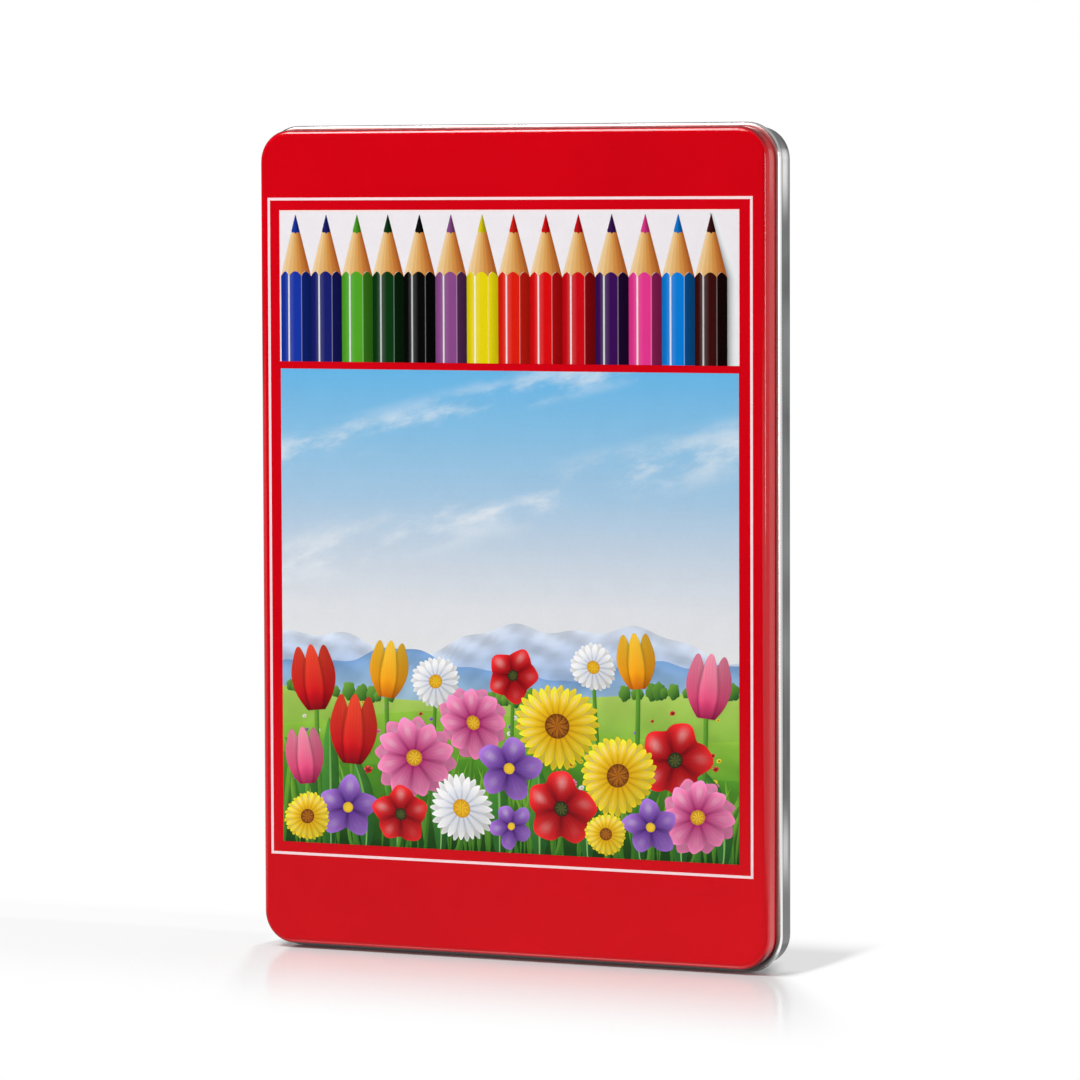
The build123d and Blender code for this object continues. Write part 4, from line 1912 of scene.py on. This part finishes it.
@dataclass(frozen=True)
class Floor:
    """Pale, partly glossy floor that keeps the tin's shadow and melts into the background.

    Lengths are metres.  The glow is the floor's own white, seen away from the patch and, on the
    viewer's side, in mirrors, where it is dim but for two brighter areas to the right and left.
    """

    extent: float = 8.0
    cells: int = 12
    pale: Rgb = (247, 247, 247)
    mirrored_pale: Rgb = (112, 112, 112)
    gloss_share: float = 0.36
    gloss_roughness: Reach = (0.13, 0.17)
    patch: FloorPatch = FloorPatch()
    open_lid: float = 0.1285
    open_lid_keeps: float = 0.6
    front: Reach = (0.0, 0.012)
    near: float = 0.2
    near_ends: Reach = (0.03, 0.8)
    right: float = 0.85
    right_sides: Reach = (0.12, 0.3)
    left: float = 0.7
    left_sides: Reach = (-0.12, -0.065)
    left_slant: float = 0.75
    back_depths: Reach = (0.02, 0.3)

    def build(self) -> None:
        """Makes the floor as an even grid and gives it its material."""
        steps = np.linspace(-self.extent / 2, self.extent / 2, self.cells + 1)
        across, along = np.meshgrid(steps, steps)
        points = np.stack([across.ravel(), along.ravel(), np.zeros(across.size)], axis=1)
        mesh = bpy.data.meshes.new("floor")
        mesh.from_pydata(points.tolist(), [], grid_faces(*across.shape).tolist())
        floor = bpy.data.objects.new("floor", mesh)
        bpy.context.scene.collection.objects.link(floor)
        mesh.materials.append(self._material())

    def _material(self) -> bpy.types.Material:
        """Wires the pale surface and its glow.

        Returns:
            The material.
        """
        made, board = blank_material("pale_floor")
        rays = board.add("ShaderNodeLightPath").outputs
        side, depth, _ = board.split(board.place())
        front = board.span(board.times(depth, -1.0), *self.front)
        glow = self._glow(board, side, depth, front)
        feeds = {"Color": tone(WHITE), "Strength": white_shown(board, rays, glow)}
        glowing = board.add("ShaderNodeEmission", feeds).outputs[0]
        share = self._glow_share(board, rays, side, depth, front)
        whole = board.add("ShaderNodeMixShader", {0: share, 1: self._surface(board, rays), 2: glowing})
        board.add("ShaderNodeOutputMaterial", {"Surface": whole.outputs[0]})
        return made

    def _surface(self, board: Board, rays: Any) -> Socket:
        """The floor itself: matt with a soft gloss, and darker in mirrors.

        Args:
            board: The material's board.
            rays: Outputs of its Light Path node.

        Returns:
            The shader's socket.
        """
        pale = board.mix(rays["Is Glossy Ray"], tone(self.pale), tone(self.mirrored_pale))
        matt = board.add("ShaderNodeBsdfDiffuse", {"Color": pale}).outputs[0]
        grain = board.span(board.noise(300.0), *NOISE_RANGE, *self.gloss_roughness)
        gloss = board.add("ShaderNodeBsdfGlossy", {"Color": tone(WHITE), "Roughness": grain}).outputs[0]
        return board.add("ShaderNodeMixShader", {0: self.gloss_share, 1: matt, 2: gloss}).outputs[0]

    def _glow(self, board: Board, side: Socket, depth: Socket, front: Socket) -> Socket:
        """Strength of the glow in mirrors.

        Args:
            board: The material's board.
            side: X of the place.
            depth: Y of the place.
            front: 1 on the viewer's side of the tin and 0 behind it.

        Returns:
            The strength's socket.
        """
        ahead = board.times(depth, -1.0)
        near = board.span(ahead, *self.near_ends, self.near, VIEWERS_SIDE)
        near = board.larger(near, board.span(side, *self.right_sides, 0.0, self.right))
        leftwards = board.math("MULTIPLY_ADD", ahead, self.left_slant, side)
        near = board.larger(near, board.span(leftwards, *self.left_sides, self.left, 0.0))
        return board.mix(front, board.span(depth, *self.back_depths, 1.0, BACKDROP), near)

    def _glow_share(self, board: Board, rays: Any, side: Socket, depth: Socket, front: Socket) -> Socket:
        """How much of the glow replaces the floor.

        None of it for diffuse and shadow rays or at the tin's front, less of it on the patch of the
        opened lid, and all of it in mirrors that show the viewer's side.

        Args:
            board: The material's board.
            rays: Outputs of its Light Path node.
            side: X of the place.
            depth: Y of the place.
            front: 1 on the viewer's side of the tin and 0 behind it.

        Returns:
            The share's socket.
        """
        away = self.patch.away(board, side, depth)
        opened = self.patch.away(board, board.plus(side, self.open_lid), depth)
        clear = board.times(away, board.span(opened, 0.0, 1.0, self.open_lid_keeps, 1.0))
        seen = board.minus(1.0, rays["Is Diffuse Ray"])
        seen = board.math("SUBTRACT", seen, rays["Is Shadow Ray"], clamp=True)
        return board.times(seen, board.larger(clear, board.times(rays["Is Glossy Ray"], front)))


@dataclass(frozen=True)
class Surround:
    """White surroundings, softer as a light than to the eye.

    In a mirror they are dim towards the viewer and the left, and less bright overhead and behind.
    The reaches are parts of a direction: how far it points forward, left, back or up.
    """

    ambient: float = 0.37
    forward: Reach = (0.22, 0.55)
    left: float = 0.1
    left_ends: Reach = (-0.8, -0.5)
    back_ends: Reach = (0.3, 0.85)
    straight_back: float = 0.2
    straight_ends: Reach = (0.92, 0.985)
    overhead: float = 0.45
    overhead_ends: Reach = (0.08, 0.4)

    def build(self) -> None:
        """Wires the world."""
        world = bpy.data.worlds.new("white_surround")
        world.use_nodes = True
        world.node_tree.nodes.clear()
        board = Board(world.node_tree)
        aside, back, up = board.split(board.add("ShaderNodeTexCoord").outputs["Generated"])
        viewer = board.span(board.times(back, -1.0), *self.forward, 1.0, VIEWERS_SIDE)
        left = board.span(aside, *self.left_ends, self.left, 1.0)
        backdrop = board.span(back, *self.back_ends, 1.0, BACKDROP)
        backdrop = board.times(backdrop, board.span(back, *self.straight_ends, 1.0, self.straight_back))
        overhead = board.span(up, *self.overhead_ends, 1.0, self.overhead)
        rays = board.add("ShaderNodeLightPath").outputs
        mirrored = board.times(board.times(viewer, backdrop), board.times(overhead, left))
        ambient = board.times(rays["Is Diffuse Ray"], self.ambient)
        strength = board.larger(white_shown(board, rays, mirrored), ambient)
        shell = board.add("ShaderNodeBackground", {"Color": tone(WHITE), "Strength": strength})
        board.add("ShaderNodeOutputWorld", {"Surface": shell.outputs[0]})
        bpy.context.scene.world = world


@dataclass(frozen=True)
class Lamp:
    """An area lamp that faces the tin, in metres and watts."""

    name: str
    place: tuple[float, float, float]
    size: Reach
    power: float
    aim: tuple[float, float, float] = (0.0, 0.0, 0.09)

    def build(self) -> None:
        """Adds the lamp."""
        light = bpy.data.lights.new(self.name, "AREA")
        light.shape = "RECTANGLE"
        light.size, light.size_y = self.size
        light.energy = self.power
        holder = bpy.data.objects.new(self.name, light)
        holder.location = self.place
        way = Vector(self.aim) - Vector(self.place)
        holder.rotation_euler = way.to_track_quat("-Z", "Y").to_euler()
        holder.visible_camera = False
        bpy.context.scene.collection.objects.link(holder)


@dataclass(frozen=True)
class PhotoCamera:
    """Camera of the photograph.

    Its place is in metres, its focal length and sensor in millimetres.
    """

    place: tuple[float, float, float] = (0.57147, -1.15722, 0.17102)
    ahead: tuple[float, float, float] = (-0.438863, 0.896604, -0.059163)
    up: tuple[float, float, float] = (-0.023035, 0.054594, 0.998243)
    focal_length: float = 191.407
    sensor: float = 36.0
    clip: Reach = (0.01, 50.0)

    def build(self) -> None:
        """Adds the camera and makes it the scene's own."""
        lens = bpy.data.cameras.new("camera")
        lens.lens, lens.sensor_width = self.focal_length, self.sensor
        lens.clip_start, lens.clip_end = self.clip
        camera = bpy.data.objects.new("camera", lens)
        ahead = Vector(self.ahead).normalized()
        right = ahead.cross(Vector(self.up)).normalized()
        turn = Matrix((right, right.cross(ahead), -ahead)).transposed().to_4x4()
        camera.matrix_world = Matrix.Translation(self.place) @ turn
        bpy.context.scene.collection.objects.link(camera)
        bpy.context.scene.camera = camera


@dataclass(frozen=True)
class Studio:
    """Floor, surroundings, lamps and camera."""

    lamps: tuple[Lamp, ...] = (
        Lamp("key_softbox", (-0.26, -0.34, 0.82), (0.5, 0.4), 5.1),
        Lamp("right_strip", (0.72, -0.44, 0.2), (0.12, 0.3), 1.04),
        Lamp("top_softbox", (-0.44, -0.27, 0.95), (0.3, 0.24), 1.9),
        Lamp("back_softbox", (0.5, 0.9, 0.3), (0.2, 0.26), 0.08),
    )

    def build(self) -> None:
        """Sets up everything round the tin."""
        for fitting in (Floor(), Surround(), *self.lamps, PhotoCamera()):
            fitting.build()
            LOG.info("studio: %s is in place", type(fitting).__name__)
        bpy.context.scene.view_settings.view_transform = "Standard"


def corners(pair: tuple[Vector, Vector]) -> list[list[float]]:
    """Two corners as plain lists of numbers."""
    return [list(corner) for corner in pair]


def main() -> None:
    """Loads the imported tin, dresses it, prints the lid and sets up the studio."""
    logging.basicConfig(level=logging.INFO, format="%(message)s")
    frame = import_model()
    effects = Effects()
    DressedTin(frame["nodes"], effects).dress()
    Liner().build(effects)
    sheet = PrintSheet()
    for printed in (Panels(), PencilRow(), Meadow()):
        printed.draw(sheet)
    sheet.publish(effects)
    Studio().build()


if __name__ == "__main__":
    main()
